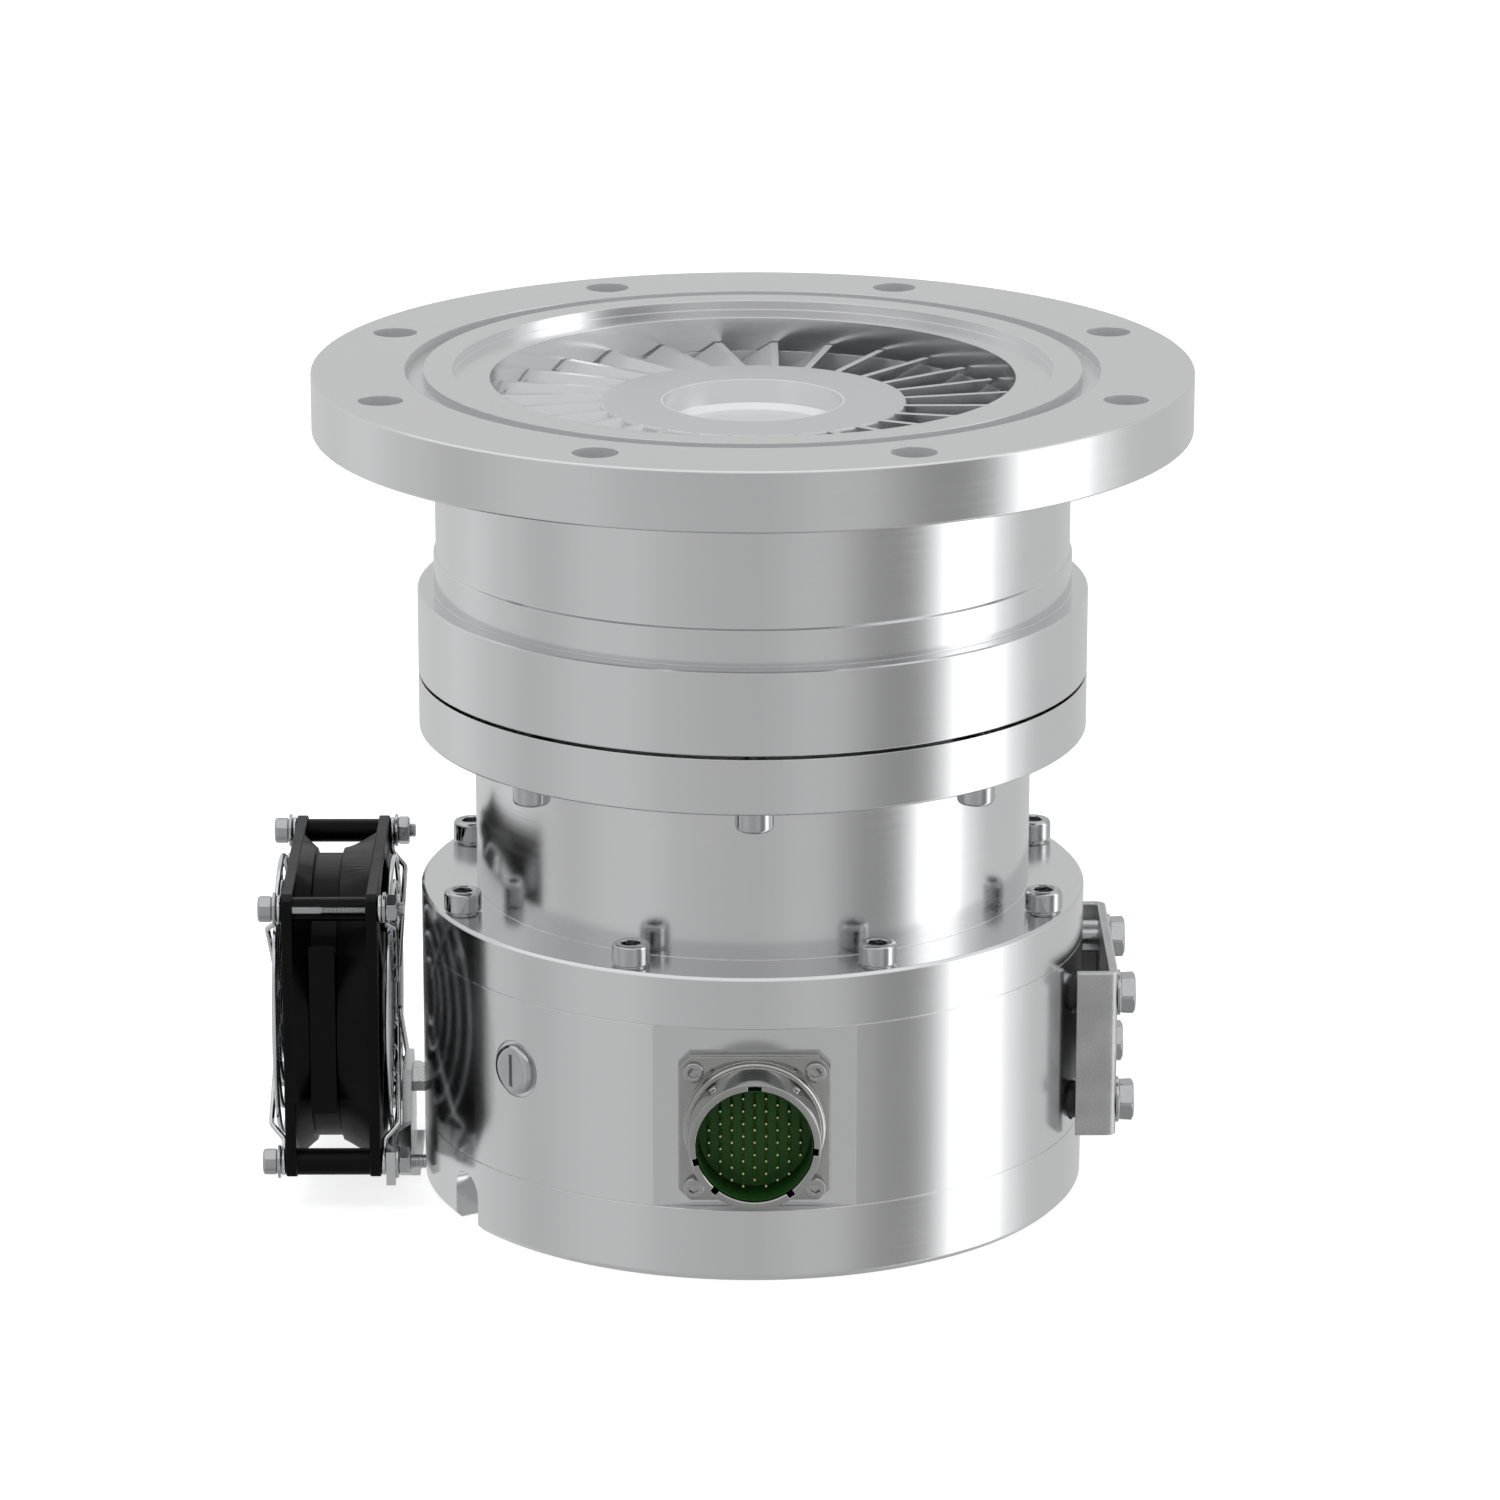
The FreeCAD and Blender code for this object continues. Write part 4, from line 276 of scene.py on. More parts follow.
def finish_of(name, dark, light, grain, rough, relief=0.01 * mm, metallic=1.0, edge=None, edge_width=0.3 * mm,
              gloss=0.5, way=(0, 0, 1), painted_facing_light=None):
    """A finish of two close shades, mixed by the sum of a noise of the grain's size and one 20 times
    as coarse, with a fine relief, a shade along its edges that is partly wear and partly a painted
    highlight, for plastic a share of gloss, and where asked a painted light: another shade on the
    flat faces that look one way."""
    material = bpy.data.materials.new(name)
    tree = empty_tree(material)
    place = add(tree, "ShaderNodeTexCoord")
    cells = add(tree, "ShaderNodeTexNoise", {"Vector": place.outputs["Object"], "Scale": 1 / grain, "Detail": 3.0})
    cloud = add(tree, "ShaderNodeTexNoise", {"Vector": place.outputs["Object"], "Scale": 0.05 / grain, "Detail": 2.0})
    blend = add(tree, "ShaderNodeMath", {0: cells.outputs[0], 1: cloud.outputs[0]}, operation="ADD")
    share = add(tree, "ShaderNodeMapRange", {"Value": blend.outputs[0], "From Min": 0.7, "From Max": 1.3})
    rounded, near = edge_of(tree, edge_width)
    base = add(tree, "ShaderNodeMix", {0: share.outputs[0], 6: linear(dark), 7: linear(light)}, data_type="RGBA")
    # Painted light: flat faces that look the given way get another shade.
    if painted_facing_light:
        surface = add(tree, "ShaderNodeNewGeometry")
        look = add(tree, "ShaderNodeVectorMath", {0: surface.outputs["True Normal"], 1: way}, operation="DOT_PRODUCT")
        facing_light_mask = add(tree, "ShaderNodeMapRange", {"Value": look.outputs["Value"], "From Min": 0.95, "From Max": 0.99})
        base = add(tree, "ShaderNodeMix", {0: facing_light_mask.outputs[0], 6: base.outputs[2], 7: linear(painted_facing_light)},
                   data_type="RGBA")
    # Edges get their own colour: partly wear, and on the metals a painted highlight.
    edge_wear_and_highlight = add(tree, "ShaderNodeMix", {0: near, 6: base.outputs[2], 7: linear(edge or light)}, data_type="RGBA")
    shine = add(tree, "ShaderNodeMapRange", {"Value": blend.outputs[0], "From Min": 0.7, "From Max": 1.3,
                                             "To Min": rough * 0.85, "To Max": rough * 1.15})
    skin = add(tree, "ShaderNodeBump", {"Height": cells.outputs[0], "Strength": 0.5, "Distance": relief,
                                        "Normal": rounded})
    body = add(tree, "ShaderNodeBsdfPrincipled", {"Base Color": edge_wear_and_highlight.outputs[2], "Metallic": metallic,
                                                  "Roughness": shine.outputs[0], "Specular IOR Level": gloss,
                                                  "Normal": skin.outputs[0]})
    add(tree, "ShaderNodeOutputMaterial", {"Surface": body.outputs[0]})
    return material


seal = finish_of("seal_rubber", "#121212", "#1C1C1D", grain=0.4 * mm, rough=0.55, metallic=0.0, edge="#2A2A2A")
dress(seal, "casing_seal", "base_seal")

# Cap screws of bright stainless steel join the housings: eight hang under the middle joint and
# eight stand on the base. Heads are 10 mm across with knurled sides and a 5 mm hexagon socket.

# A row without flats has them this far from its axis, in millimetres, where they cut nothing.
wide = 1e3


def revolved(rows, segments=48, hollow=False):
    """Surface round the Z axis, from millimetres to metres. A row holds a radius, a height, half the
    width across flats and a knurl: the reach at an angle is the smaller of the radius and of the
    flat's distance over the cosine to the nearest flat, with the knurl added at one point and taken
    off at the next. Poles close the ends; a hollow shape's last row is joined to its first."""
    rows = np.array([tuple(row) + (wide, 0.0)[len(row) - 2:] for row in rows], float)
    angle = np.arange(segments) * 2 * np.pi / segments
    slant = np.cos((angle + np.pi / 6) % (np.pi / 3) - np.pi / 6)
    reach = np.minimum(rows[:, :1], rows[:, 2:3] / slant) + rows[:, 3:4] * (-1.0) ** np.arange(segments)
    points = mm * np.stack([reach * np.cos(angle), reach * np.sin(angle), rows[:, 1:2] + 0 * angle], -1).reshape(-1, 3)
    count = len(rows)
    quads = grid_faces(count, segments, closed=True)
    start = np.arange(segments)
    after = (start + 1) % segments
    if hollow:
        last = np.stack([start, after], -1)
        return points, [np.concatenate([quads, np.concatenate([last + (count - 1) * segments, last[:, ::-1]], 1)])]
    poles = mm * np.array([[0, 0, rows[0, 1]], [0, 0, rows[-1, 1]]])
    foot = np.stack([after, start, np.full(segments, len(points))], -1)
    top = np.stack([start, after, np.full(segments, len(points) + 1)], -1)
    top[:, :2] += (count - 1) * segments
    return np.concatenate([points, poles]), [quads, np.concatenate([foot, top])]


def joined(shapes):
    """Several shapes as one, with each shape's faces counted on from the one before."""
    starts = np.cumsum([0] + [len(points) for points, _ in shapes])
    points = np.concatenate([points for points, _ in shapes])
    return points, [f + s for (_, faces), s in zip(shapes, starts) for f in faces]


def placed(shape, origins, x_axes, y_axes, z_axes):
    """Copies of a shape, one for each origin: each point is the origin plus the point's x, y and z
    times the three axes given with it."""
    points, faces = shape
    origins = np.asarray(origins, float).reshape(-1, 3)
    axes = [np.broadcast_to(np.asarray(a, float), origins.shape) for a in (x_axes, y_axes, z_axes)]
    moved = np.einsum("pi,cij->cpj", points, np.stack(axes, 1)) + origins[:, None]
    steps = np.arange(len(origins)) * len(points)
    return moved.reshape(-1, 3), [(f[None] + steps[:, None, None]).reshape(-1, f.shape[1]) for f in faces]


def piece(name, shape, material, body, slot, *replaced, crease=32.0):
    """An object made of a shape, in metres, that rides on a body and stands for some CAD nodes.
    Edges that turn by more than the crease, in degrees, stay sharp."""
    points, faces = shape
    mesh = new_mesh(name, points, [face for group in faces for face in group.tolist()])
    shells = bmesh.new()
    shells.from_mesh(mesh)
    bmesh.ops.recalc_face_normals(shells, faces=shells.faces)
    shells.to_mesh(mesh)
    shells.free()
    mesh.materials.append(material)
    mesh.shade_smooth()
    mesh.set_sharp_from_angle(angle=math.radians(crease))
    made = bpy.data.objects.new(name, mesh)
    scene.collection.objects.link(made)
    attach(made, body)
    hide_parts(*replaced)


def thread(radius, pitch, start, end):
    """Rows of a screw thread drawn as even ridges: every other row lies half a pitch deeper."""
    turns = max(int(round((end - start) / pitch)), 1)
    heights = np.linspace(start, end, 2 * turns + 1)
    return [(radius - 0.5 * pitch * (i % 2 == 0), h) for i, h in enumerate(heights)]


def cap_screw(shank, head, height, socket, length, pitch, threaded, ridge):
    """A cap screw whose head stands on z = 0: shank and thread below, knurled side, broken top edge
    and a hexagon socket as deep as 0.6 of its width. Lengths are in millimetres."""
    r = head / 2
    rows = [(shank / 2 - 0.5 * pitch, -length)]
    rows += thread(shank / 2, pitch, -length + 0.2, -length + threaded)
    rows += [(shank / 2, -length + threaded + 0.1), (shank / 2, -0.02), (r - 0.07 * head, 0.0),
             (r - 0.06 * head, 0.06 * height)]
    rows += [(r - ridge, 0.12 * height), (r - ridge, 0.14 * height, wide, ridge),
             (r - ridge, 0.8 * height, wide, ridge)]
    rows += [(r - ridge, 0.83 * height), (r - 0.015 * head, 0.9 * height), (r - 0.045 * head, 0.965 * height),
             (r - 0.09 * head, height)]
    rows += [(socket * 0.6, height), (wide, height - 0.05 * socket, socket / 2, 0), (wide, height - 0.6 * socket,
                                                                                     socket / 2, 0),
             (0.3 * socket, height - 0.68 * socket)]
    return revolved(rows, 72)


def ring_places(radius, height, start, count=8):
    """Places on a circle round the pump's axis, a full turn over their count apart from a start angle
    on, with the outward and the sideward axis of each."""
    turn = np.radians(start + np.arange(count) * 360 / count)
    out = np.stack([np.cos(turn), np.sin(turn), 0 * turn], -1)
    side = np.stack([-np.sin(turn), np.cos(turn), 0 * turn], -1)
    return out * radius * mm + np.array([0, 0, height * mm]), out, side


# Bright stainless steel is a shade greyer than the housings and mirrors more sharply; its edges are painted near white,
# a painted highlight.
stainless = finish_of("bright_stainless", "#B9BABB", "#C3C4C5", grain=0.5 * mm, rough=0.1, relief=0.001 * mm,
                      edge="#EDEDED", edge_width=0.2 * mm)
m6_socket = dict(shank=6.0, head=10.0, height=6.0, socket=5.0, pitch=1.0, threaded=14.0, ridge=0.05)
spots, out, side = ring_places(radius=84.0, height=84.0, start=22.5)
base_screw = cap_screw(length=26.0, **m6_socket)
piece("base_cap_screws", placed(base_screw, spots, out, side, (0, 0, 1)), stainless, "pump", "steel", "base_screws")
spots, out, side = ring_places(radius=82.25, height=128.0, start=0.0)
casing_screw = cap_screw(length=28.0, **m6_socket)
piece("casing_cap_screws", placed(casing_screw, spots, out, -side, (0, 0, -1)), stainless, "pump", "steel",
      "casing_screws")
# Ground bearing steel is cooler in colour and blurs what it mirrors; the port is turned stainless.
steel = finish_of("ground_steel", "#B9BABC", "#CDCED0", grain=0.5 * mm, rough=0.2)
dress(steel, "cover_screws", "column_screws", "rotor_screws", "rotor_shaft", "thrust_disc", "upper_touchdown_bearing",
      "lower_touchdown_bearing")
dress(finish_of("turned_stainless_port", "#B4B5B6", "#C6C7C8", grain=0.5 * mm, rough=0.18), "exhaust_port")


# The turbine is milled from one aluminium forging: 28 flat blades a stage round a hub with a
# shallow recess. Stator discs and spacer rings of the same alloy fill the bore between its stages.
# Milled faces look silky: they blur what they mirror and scatter the rest.

milled = bpy.data.materials.new("milled_aluminium")
tree = empty_tree(milled)
place = add(tree, "ShaderNodeTexCoord")
apart = add(tree, "ShaderNodeSeparateXYZ", {0: place.outputs["Object"]})
level = add(tree, "ShaderNodeCombineXYZ", {0: apart.outputs[0], 1: apart.outputs[1]})
reach = add(tree, "ShaderNodeVectorMath", {0: level.outputs[0]}, operation="LENGTH")
# The ball cutter's lines are 0.3 mm apart, drawn as 0.7 mm so that they show.
line_pitch = 0.7 * mm
lathe = add(tree, "ShaderNodeCombineXYZ", {0: reach.outputs["Value"], 1: apart.outputs[2]})
passes = add(tree, "ShaderNodeTexNoise", {"Vector": lathe.outputs[0], "Scale": 1 / line_pitch, "Detail": 2.0},
             noise_dimensions="2D")
haze = add(tree, "ShaderNodeTexNoise", {"Vector": place.outputs["Object"], "Scale": 1 / (18 * mm), "Detail": 3.0})
rounded, near = edge_of(tree, 0.3 * mm)
# The hub's recess and the spacer rings' bores are painted brighter, a painted light against the
# shade that falls in them. The faces of hub and first stage that look up are painted a shade
# greyer, a painted shade.
recess_radius, ring_bore, first_stage_foot = 24.5 * mm, 73.5 * mm, 207.0 * mm
painted_bore_light = add(tree, "ShaderNodeMath", {0: reach.outputs["Value"], 1: ring_bore}, operation="GREATER_THAN")
plain = add(tree, "ShaderNodeMix", {0: haze.outputs[0], 6: linear("#D6D7D8"), 7: linear("#DEDEDF")}, data_type="RGBA")
painted_recess_light = add(tree, "ShaderNodeMath", {0: reach.outputs["Value"], 1: recess_radius}, operation="LESS_THAN")
surface = add(tree, "ShaderNodeNewGeometry")
heading = add(tree, "ShaderNodeSeparateXYZ", {0: surface.outputs["True Normal"]})
upward = add(tree, "ShaderNodeMapRange", {"Value": heading.outputs[2], "From Min": 0.2, "From Max": 0.5})
first_stage = add(tree, "ShaderNodeMath", {0: apart.outputs[2], 1: first_stage_foot}, operation="GREATER_THAN")
# Painted shade: faces that look up, above the first stage's foot, get the greyer #C4C5C6.
painted_top_shade = add(tree, "ShaderNodeMath", {0: upward.outputs[0], 1: first_stage.outputs[0]}, operation="MULTIPLY")
top = add(tree, "ShaderNodeMix", {0: painted_top_shade.outputs[0], 6: plain.outputs[2], 7: linear("#C4C5C6")}, data_type="RGBA")
# Painted light: the hub's recess gets the brighter #E6E7E8, the spacer rings' bores #F2F2F3.
hub = add(tree, "ShaderNodeMix", {0: painted_recess_light.outputs[0], 6: top.outputs[2], 7: linear("#E6E7E8")}, data_type="RGBA")
turned = add(tree, "ShaderNodeMix", {0: painted_bore_light.outputs[0], 6: hub.outputs[2], 7: linear("#F2F2F3")}, data_type="RGBA")
# Painted highlight: a near-white line along each edge.
colour = add(tree, "ShaderNodeMix", {0: near, 6: turned.outputs[2], 7: linear("#F8F8F8")}, data_type="RGBA")
rough = add(tree, "ShaderNodeMapRange", {"Value": haze.outputs[0], "From Min": 0.3, "From Max": 0.7, "To Min": 0.2,
                                         "To Max": 0.27})
lines = add(tree, "ShaderNodeBump", {"Height": passes.outputs[0], "Strength": 0.08, "Distance": 0.02 * mm,
                                     "Normal": rounded})
# Half of the light is scattered by the cutter's lines, which keeps the deep gaps light.
metal = add(tree, "ShaderNodeBsdfPrincipled", {"Base Color": colour.outputs[2], "Metallic": 0.5,
                                               "Roughness": rough.outputs[0], "Normal": lines.outputs[0]})
add(tree, "ShaderNodeOutputMaterial", {"Surface": metal.outputs[0]})
dress(milled, "turbine_rotor", "drag_drum", "drag_stator", "stator_column")
dress(milled, *["stator_disc_%d" % i for i in range(1, 6)], *["spacer_ring_%d" % i for i in range(1, 7)])

# Magnetic bearings and the motor are stacks of dark iron laminations on and round the shaft. Bare
# iron is brownish and nearly matt.
iron = finish_of("iron_laminations", "#3A3733", "#4B4743", grain=0.5 * mm, rough=0.45, relief=0.03 * mm, metallic=0.8,
                 edge="#5C5853")
dress(iron, "lower_axial_magnet", "upper_axial_magnet", "lower_radial_magnet", "upper_radial_magnet",
      "motor_stator", "motor_magnet", "lower_radial_sleeve", "upper_radial_sleeve", "fan_motor_stator")


# The connector is a nickel-plated shell: a square plate with broken corners, a collar and a barrel
# with a keyed mouth and three bayonet studs. Four small socket screws hold it on the base's flat.
# Bright nickel is a warm grey mirror, with a painted highlight along its edges.

flat_y, socket_z = -86.0, 42.5
plate_half, plate_cut, plate_thick = 19.85, 3.0, 3.0
barrel, bore, rim = 17.25, 15.25, 17.5
key_turns = np.array([0.0, 95.0, 144.0, 221.0, 255.0])
key_widths = np.array([3.4, 1.8, 1.8, 1.8, 1.8])
key_depth = 1.4

# Angles at which the shell has its points: the plate's corners, both ends of each keyway's walls,
# and every 2.5 degrees.
corner = math.degrees(math.atan2(plate_half - plate_cut, plate_half))
key_middle = 90 - key_turns
key_half = np.degrees(np.arcsin(key_widths / 2 / bore))
fixed = [np.array([corner, 90 - corner])[:, None] + np.arange(0, 360, 90), key_middle - key_half, key_middle + key_half,
         key_middle - key_half - 0.3, key_middle + key_half + 0.3, np.arange(0, 360, 2.5)]
shell_turn = np.radians(np.unique(np.concatenate([np.ravel(f) for f in fixed]) % 360))


def octagon(inset):
    """Reach of the plate's outline: the nearest of its sides and of its broken corners."""
    across, up = np.abs(np.cos(shell_turn)), np.abs(np.sin(shell_turn))
    square = (plate_half - inset) / np.maximum(across, up)
    slanted = (2 * plate_half - plate_cut - inset * math.sqrt(2)) / (across + up)
    return np.minimum(square, slanted)


def keyed(radius):
    """Reach of the barrel's bore: its radius, and deeper inside the five keyways."""
    off = np.abs((np.degrees(shell_turn)[:, None] - key_middle + 180) % 360 - 180)
    return radius + (key_depth + bore - radius) * (off <= key_half + 0.01).any(1)


def same(radius):
    """Reach of a plain circle."""
    return np.full(shell_turn.shape, radius)


section = [(same(bore), -8.0), (same(barrel), -8.0), (same(barrel), -0.02), (octagon(0.3), 0.0),
           (octagon(0.0), 0.3), (octagon(0.0), plate_thick - 0.4), (octagon(0.15), plate_thick - 0.12),
           (octagon(0.5), plate_thick), (same(18.5), plate_thick), (same(18.4), 3.3), (same(18.4), 4.6),
           (same(18.0), 5.0), (same(17.4), 5.05), (same(barrel), 5.3), (same(barrel), rim - 0.4),
           (same(barrel - 0.12), rim - 0.12), (same(barrel - 0.4), rim), (keyed(bore + 0.25), rim),
           (keyed(bore), rim - 0.3), (keyed(bore), 5.6), (same(bore), 5.4)]


def ring_of(section, turn):
    """A closed ring, from millimetres to metres: each row of the section holds a reach at every angle
    and a height, and the last row is joined to the first."""
    reach = np.stack([row[0] for row in section + section[:1]])
    height = np.array([row[1] for row in section + section[:1]])[:, None]
    points = mm * np.stack([reach * np.cos(turn), reach * np.sin(turn), height + 0 * turn], -1).reshape(-1, 3)
    count = len(section) * len(turn)
    return points[:count], [grid_faces(len(section) + 1, len(turn), closed=True) % count]


shell = ring_of(section, shell_turn)
on_flat = dict(x_axes=(1, 0, 0), y_axes=(0, 0, 1), z_axes=(0, -1, 0))
seat = np.array([0, flat_y, socket_z]) * mm
stud_turn, stud_forward = np.radians(90 - np.array([-38.0, 38.0, 180.0])), 12.0
stud = revolved([(0.9, -0.6), (1.0, -0.5), (1.0, 0.8), (0.75, 1.05), (0.4, 1.1)], 16)
stud_out = np.stack([np.cos(stud_turn), 0 * stud_turn, np.sin(stud_turn)], -1)
stud_side = np.stack([-np.sin(stud_turn), 0 * stud_turn, np.cos(stud_turn)], -1)
studs = placed(stud, seat + stud_out * barrel * mm + np.array([0, -stud_forward * mm, 0]), stud_side, (0, 1, 0),
               stud_out)
nickel = finish_of("bright_nickel_plate", "#A4A4A3", "#ACACAB", grain=0.4 * mm, rough=0.08, relief=0.001 * mm,
                   edge="#EDEDEC", edge_width=0.2 * mm)
piece("connector_body", joined([placed(shell, seat, **on_flat), studs]), nickel, "pump", "connector_nickel",
      "connector_shell")

# The insert is moulded of dark green diallyl phthalate and lines the barrel; 55 gold-plated pins
# stand in it, 2.97 mm apart across and 3.43 mm apart down.
insert_rows = [(14.0, -5.9), (15.15, -5.6), (15.15, rim - 1.0), (14.95, rim - 0.9), (14.9, rim - 1.1), (14.9, 5.9),
               (14.6, 5.55), (14.2, 5.5)]
# Its wall is painted darker than the floor, a painted shade for the barrel's shadow; the floor, which looks out to the
# front, gets the lighter green as painted light.
green = finish_of("green_moulding", "#153B12", "#1A4416", grain=0.9 * mm, rough=0.45, relief=0.004 * mm, metallic=0.0,
                  edge="#2C5C24", gloss=0.35, way=(0, -1, 0), painted_facing_light="#205E1B")
piece("connector_insert_moulding", placed(revolved(insert_rows, 64), seat, **on_flat), green, "pump",
      "connector_insert", "connector_insert")
pin_columns, pin_across, pin_down = (3, 6, 7, 8, 7, 8, 7, 6, 3), 2.97, 3.43
across = np.concatenate([np.full(n, (i - 4) * pin_across) for i, n in enumerate(pin_columns)])
down = np.concatenate([(np.arange(n) - (n - 1) / 2) * pin_down for n in pin_columns])
feet = seat + mm * np.stack([across, 0 * across, down], -1)
pin = revolved([(0.5, 5.3), (0.5, 13.3), (0.42, 13.7), (0.25, 13.95)], 10)
# Gold plate is pale here and a little rough, so each pin shows as one light dot; its edges carry a painted highlight.
gold = finish_of("gold_plate", "#E2D69C", "#EEE6BA", grain=0.3 * mm, rough=0.25, relief=0.001 * mm, edge="#FAF4DC",
                 edge_width=0.1 * mm)
piece("contact_pins", placed(pin, feet, **on_flat), gold, "pump", "contacts", "connector_pins")
# The plate's screws are plain steel, a shade lighter than the nickel, with bright edges, a painted highlight.
screw_steel = finish_of("screw_steel", "#ABABAB", "#B3B3B3", grain=0.4 * mm, rough=0.09, relief=0.001 * mm,
                        edge="#F4F4F4", edge_width=0.15 * mm)
small_screw = cap_screw(shank=3.0, head=5.5, height=2.2, socket=2.5, length=10.0, pitch=0.5, threaded=6.0, ridge=0.0)
half_pitch = 31.75 / 2
corners = [(x * half_pitch, -plate_thick, z * half_pitch) for x in (-1, 1) for z in (-1, 1)]
feet = seat + mm * np.array(corners)
piece("plate_screws", placed(small_screw, feet, **on_flat), screw_steel, "pump", "plated_screw", "connector_screws")

# The purge plug is a stainless screw with a low, sloped head. A blade slot crosses its flat face.
# The head is turned in one piece, and the slotted face is a puck that fills its shallow cup.

plug_turn, plug_radius, plug_level = math.radians(-44.5), 90.0, 50.4
head_radius, face_radius, head_edge, head_rise = 6.7, 4.6, 0.25, 1.5
plug_out = np.array([math.sin(plug_turn), -math.cos(plug_turn), 0.0])
plug_side = np.array([math.cos(plug_turn), math.sin(plug_turn), 0.0])
plug_seat = plug_out * plug_radius * mm + np.array([0, 0, plug_level * mm])


def slotted_puck(radius, bottom, top, slot_width, slot_length, slot_depth):
    """A flat puck with a slot along its Y axis. Columns run across it, each as long as the chord
    there, and the columns and rows inside the slot are sunk."""
    half, steps = slot_width / 2, 12
    right = radius * np.cos(np.linspace(math.acos(half / radius), math.radians(4), steps))
    columns = np.concatenate([-right[::-1], [-half + 0.02, half - 0.02], right])
    chord = np.sqrt(radius ** 2 - columns ** 2)
    inner = slot_length / 2 / chord[steps]
    rows = np.array([-1.0, -inner, -inner + 0.01, 0.0, inner - 0.01, inner, 1.0])
    across = np.broadcast_to(columns, (len(rows), len(columns)))
    sunk = (np.abs(across) < half - 0.01) & (np.abs(rows)[:, None] < inner - 0.005)
    upper = np.stack([across, rows[:, None] * chord, top - slot_depth * sunk], -1)
    lower = upper * (1, 1, 0) + (0, 0, bottom)
    index = np.arange(upper[..., 0].size).reshape(across.shape)
    rim = np.concatenate([index[0, :-1], index[:-1, -1], index[-1, :0:-1], index[:0:-1, 0]])
    after = np.roll(rim, -1)
    sheet = grid_faces(*across.shape)
    wall = np.stack([rim, after, after + index.size, rim + index.size], -1)
    points = np.concatenate([upper.reshape(-1, 3), lower.reshape(-1, 3)])
    return mm * points, [np.concatenate([sheet, sheet + index.size, wall])]


slope = np.radians(np.linspace(0, 90, 7))
head_rows = [(5.0, -12.0), (5.0, -1.6), (head_radius, -1.5), (head_radius, head_edge)]
step = head_radius - face_radius
head_rows += [(face_radius + step * math.cos(a), head_edge + head_rise * math.sin(a)) for a in slope[1:]]
plug_head = revolved(head_rows + [(face_radius, 0.2)], 64)
puck = slotted_puck(face_radius, bottom=0.1, top=head_edge + head_rise, slot_width=1.3, slot_length=9.0, slot_depth=1.2)
plug = joined([plug_head, puck])
piece("slotted_plug", placed(plug, plug_seat, plug_side, (0, 0, 1), plug_out), stainless, "pump", "plated_screw",
      "purge_plug")


# On the right a channel of blasted and galvanised steel sheet stands off the base on black rubber
# bushes and bright spacers. Four M6 hexagon bolts with thin washers hold it. The blasted sheet is
# mottled and matt; the zinc plate is a bright, slightly blue mirror; the rubber is dull and black.
# Edges of the sheet and of the zinc are painted near white, a painted highlight.

blasted = finish_of("blasted_galvanised_sheet", "#B0B0B1", "#CCCCCD", grain=0.5 * mm, rough=0.42, relief=0.06 * mm,
                    edge="#F6F6F6", edge_width=0.9 * mm)
dress(blasted, "side_bracket")
zinc = finish_of("bright_zinc_plate", "#B4B5B6", "#BCBDBE", grain=0.6 * mm, rough=0.1, relief=0.001 * mm,
                 edge="#F2F2F2", edge_width=0.2 * mm)
dress(zinc, "side_spacers")
bush = finish_of("bush_rubber", "#0F0F10", "#1D1D1E", grain=0.4 * mm, rough=0.45, relief=0.02 * mm, metallic=0.0,
                 edge="#333333")
dress(bush, "side_bushes")


def hexagon_bolt(shank, flats, head, length, pitch, threaded):
    """A hexagon bolt whose head stands on z = 0. Its top corners are cut by a 30 degree cone, so the
    reach there is the smaller of the flats and of the cone."""
    half = flats / 2
    top_round = 0.95 * half
    rows = [(shank / 2 - 0.5 * pitch, -length)] + thread(shank / 2, pitch, -length + 0.2, -length + threaded)
    rows += [(shank / 2, -length + threaded + 0.1), (shank / 2, -0.02), (0.97 * half, 0.0), (0.97 * half, 0.15),
             (1.12 * half, 0.2, half, 0)]
    cone = np.linspace(1.16 * half, top_round, 7)
    rows += [(radius, head - (radius - top_round) * math.tan(math.radians(30)), half, 0) for radius in cone]
    rows += [(0.9 * half, head)]
    return revolved(rows, 72)


def outward_x(y, z, x):
    """Places along X that face right, turned so that a hexagon lies on one of its flats."""
    c, s = math.cos(math.radians(30)), math.sin(math.radians(30))
    return mm * np.stack([x + 0 * y, y, z], -1), dict(x_axes=(0, c, s), y_axes=(0, -s, c), z_axes=(1, 0, 0))


bolt_y = np.array([-24.5, -24.5, 24.5, 24.5])
bolt_z = np.array([27.75, 58.25, 27.75, 58.25])
channel_face, plate_washer_thick = 98.0, 1.0
spots, facing = outward_x(bolt_y, bolt_z, channel_face + plate_washer_thick)
m6_bolt = hexagon_bolt(shank=6.0, flats=10.0, head=4.0, length=27.0, pitch=1.0, threaded=14.0)
piece("hexagon_bolts", placed(m6_bolt, spots, **facing), zinc, "pump", "plated_screw", "side_bolts")
spots, facing = outward_x(bolt_y, bolt_z, channel_face)
plate_washer = revolved([(3.3, 0.0), (6.0, 0.0), (6.2, 0.15), (6.2, 0.8), (6.0, plate_washer_thick),
                         (3.4, plate_washer_thick), (3.3, 0.9)], 48, hollow=True)
piece("bolt_washers", placed(plate_washer, spots, **facing), zinc, "pump", "plated_screw", "side_washers")


# The fan is an 80 mm axial fan: frame and impeller are moulded of black glass-filled polyester.
# The sheet bracket behind it carries its two lower bolts and stands off the base on a hexagon stud.

# The polyester is nearly black with a faint satin shine. Faces of the housing that look straight up
# are painted dark grey, a painted light from above.
polyester = dict(dark="#050505", light="#090909", grain=0.35 * mm, rough=0.4, relief=0.008 * mm, metallic=0.0,
                 edge="#1A1A1A", gloss=0.13)
dress(finish_of("black_moulded_polyester", **polyester), "fan_impeller")
painted_top_light = finish_of("painted_top_light_polyester", painted_facing_light="#343435", **polyester)
dress(steel, "fan_shaft")
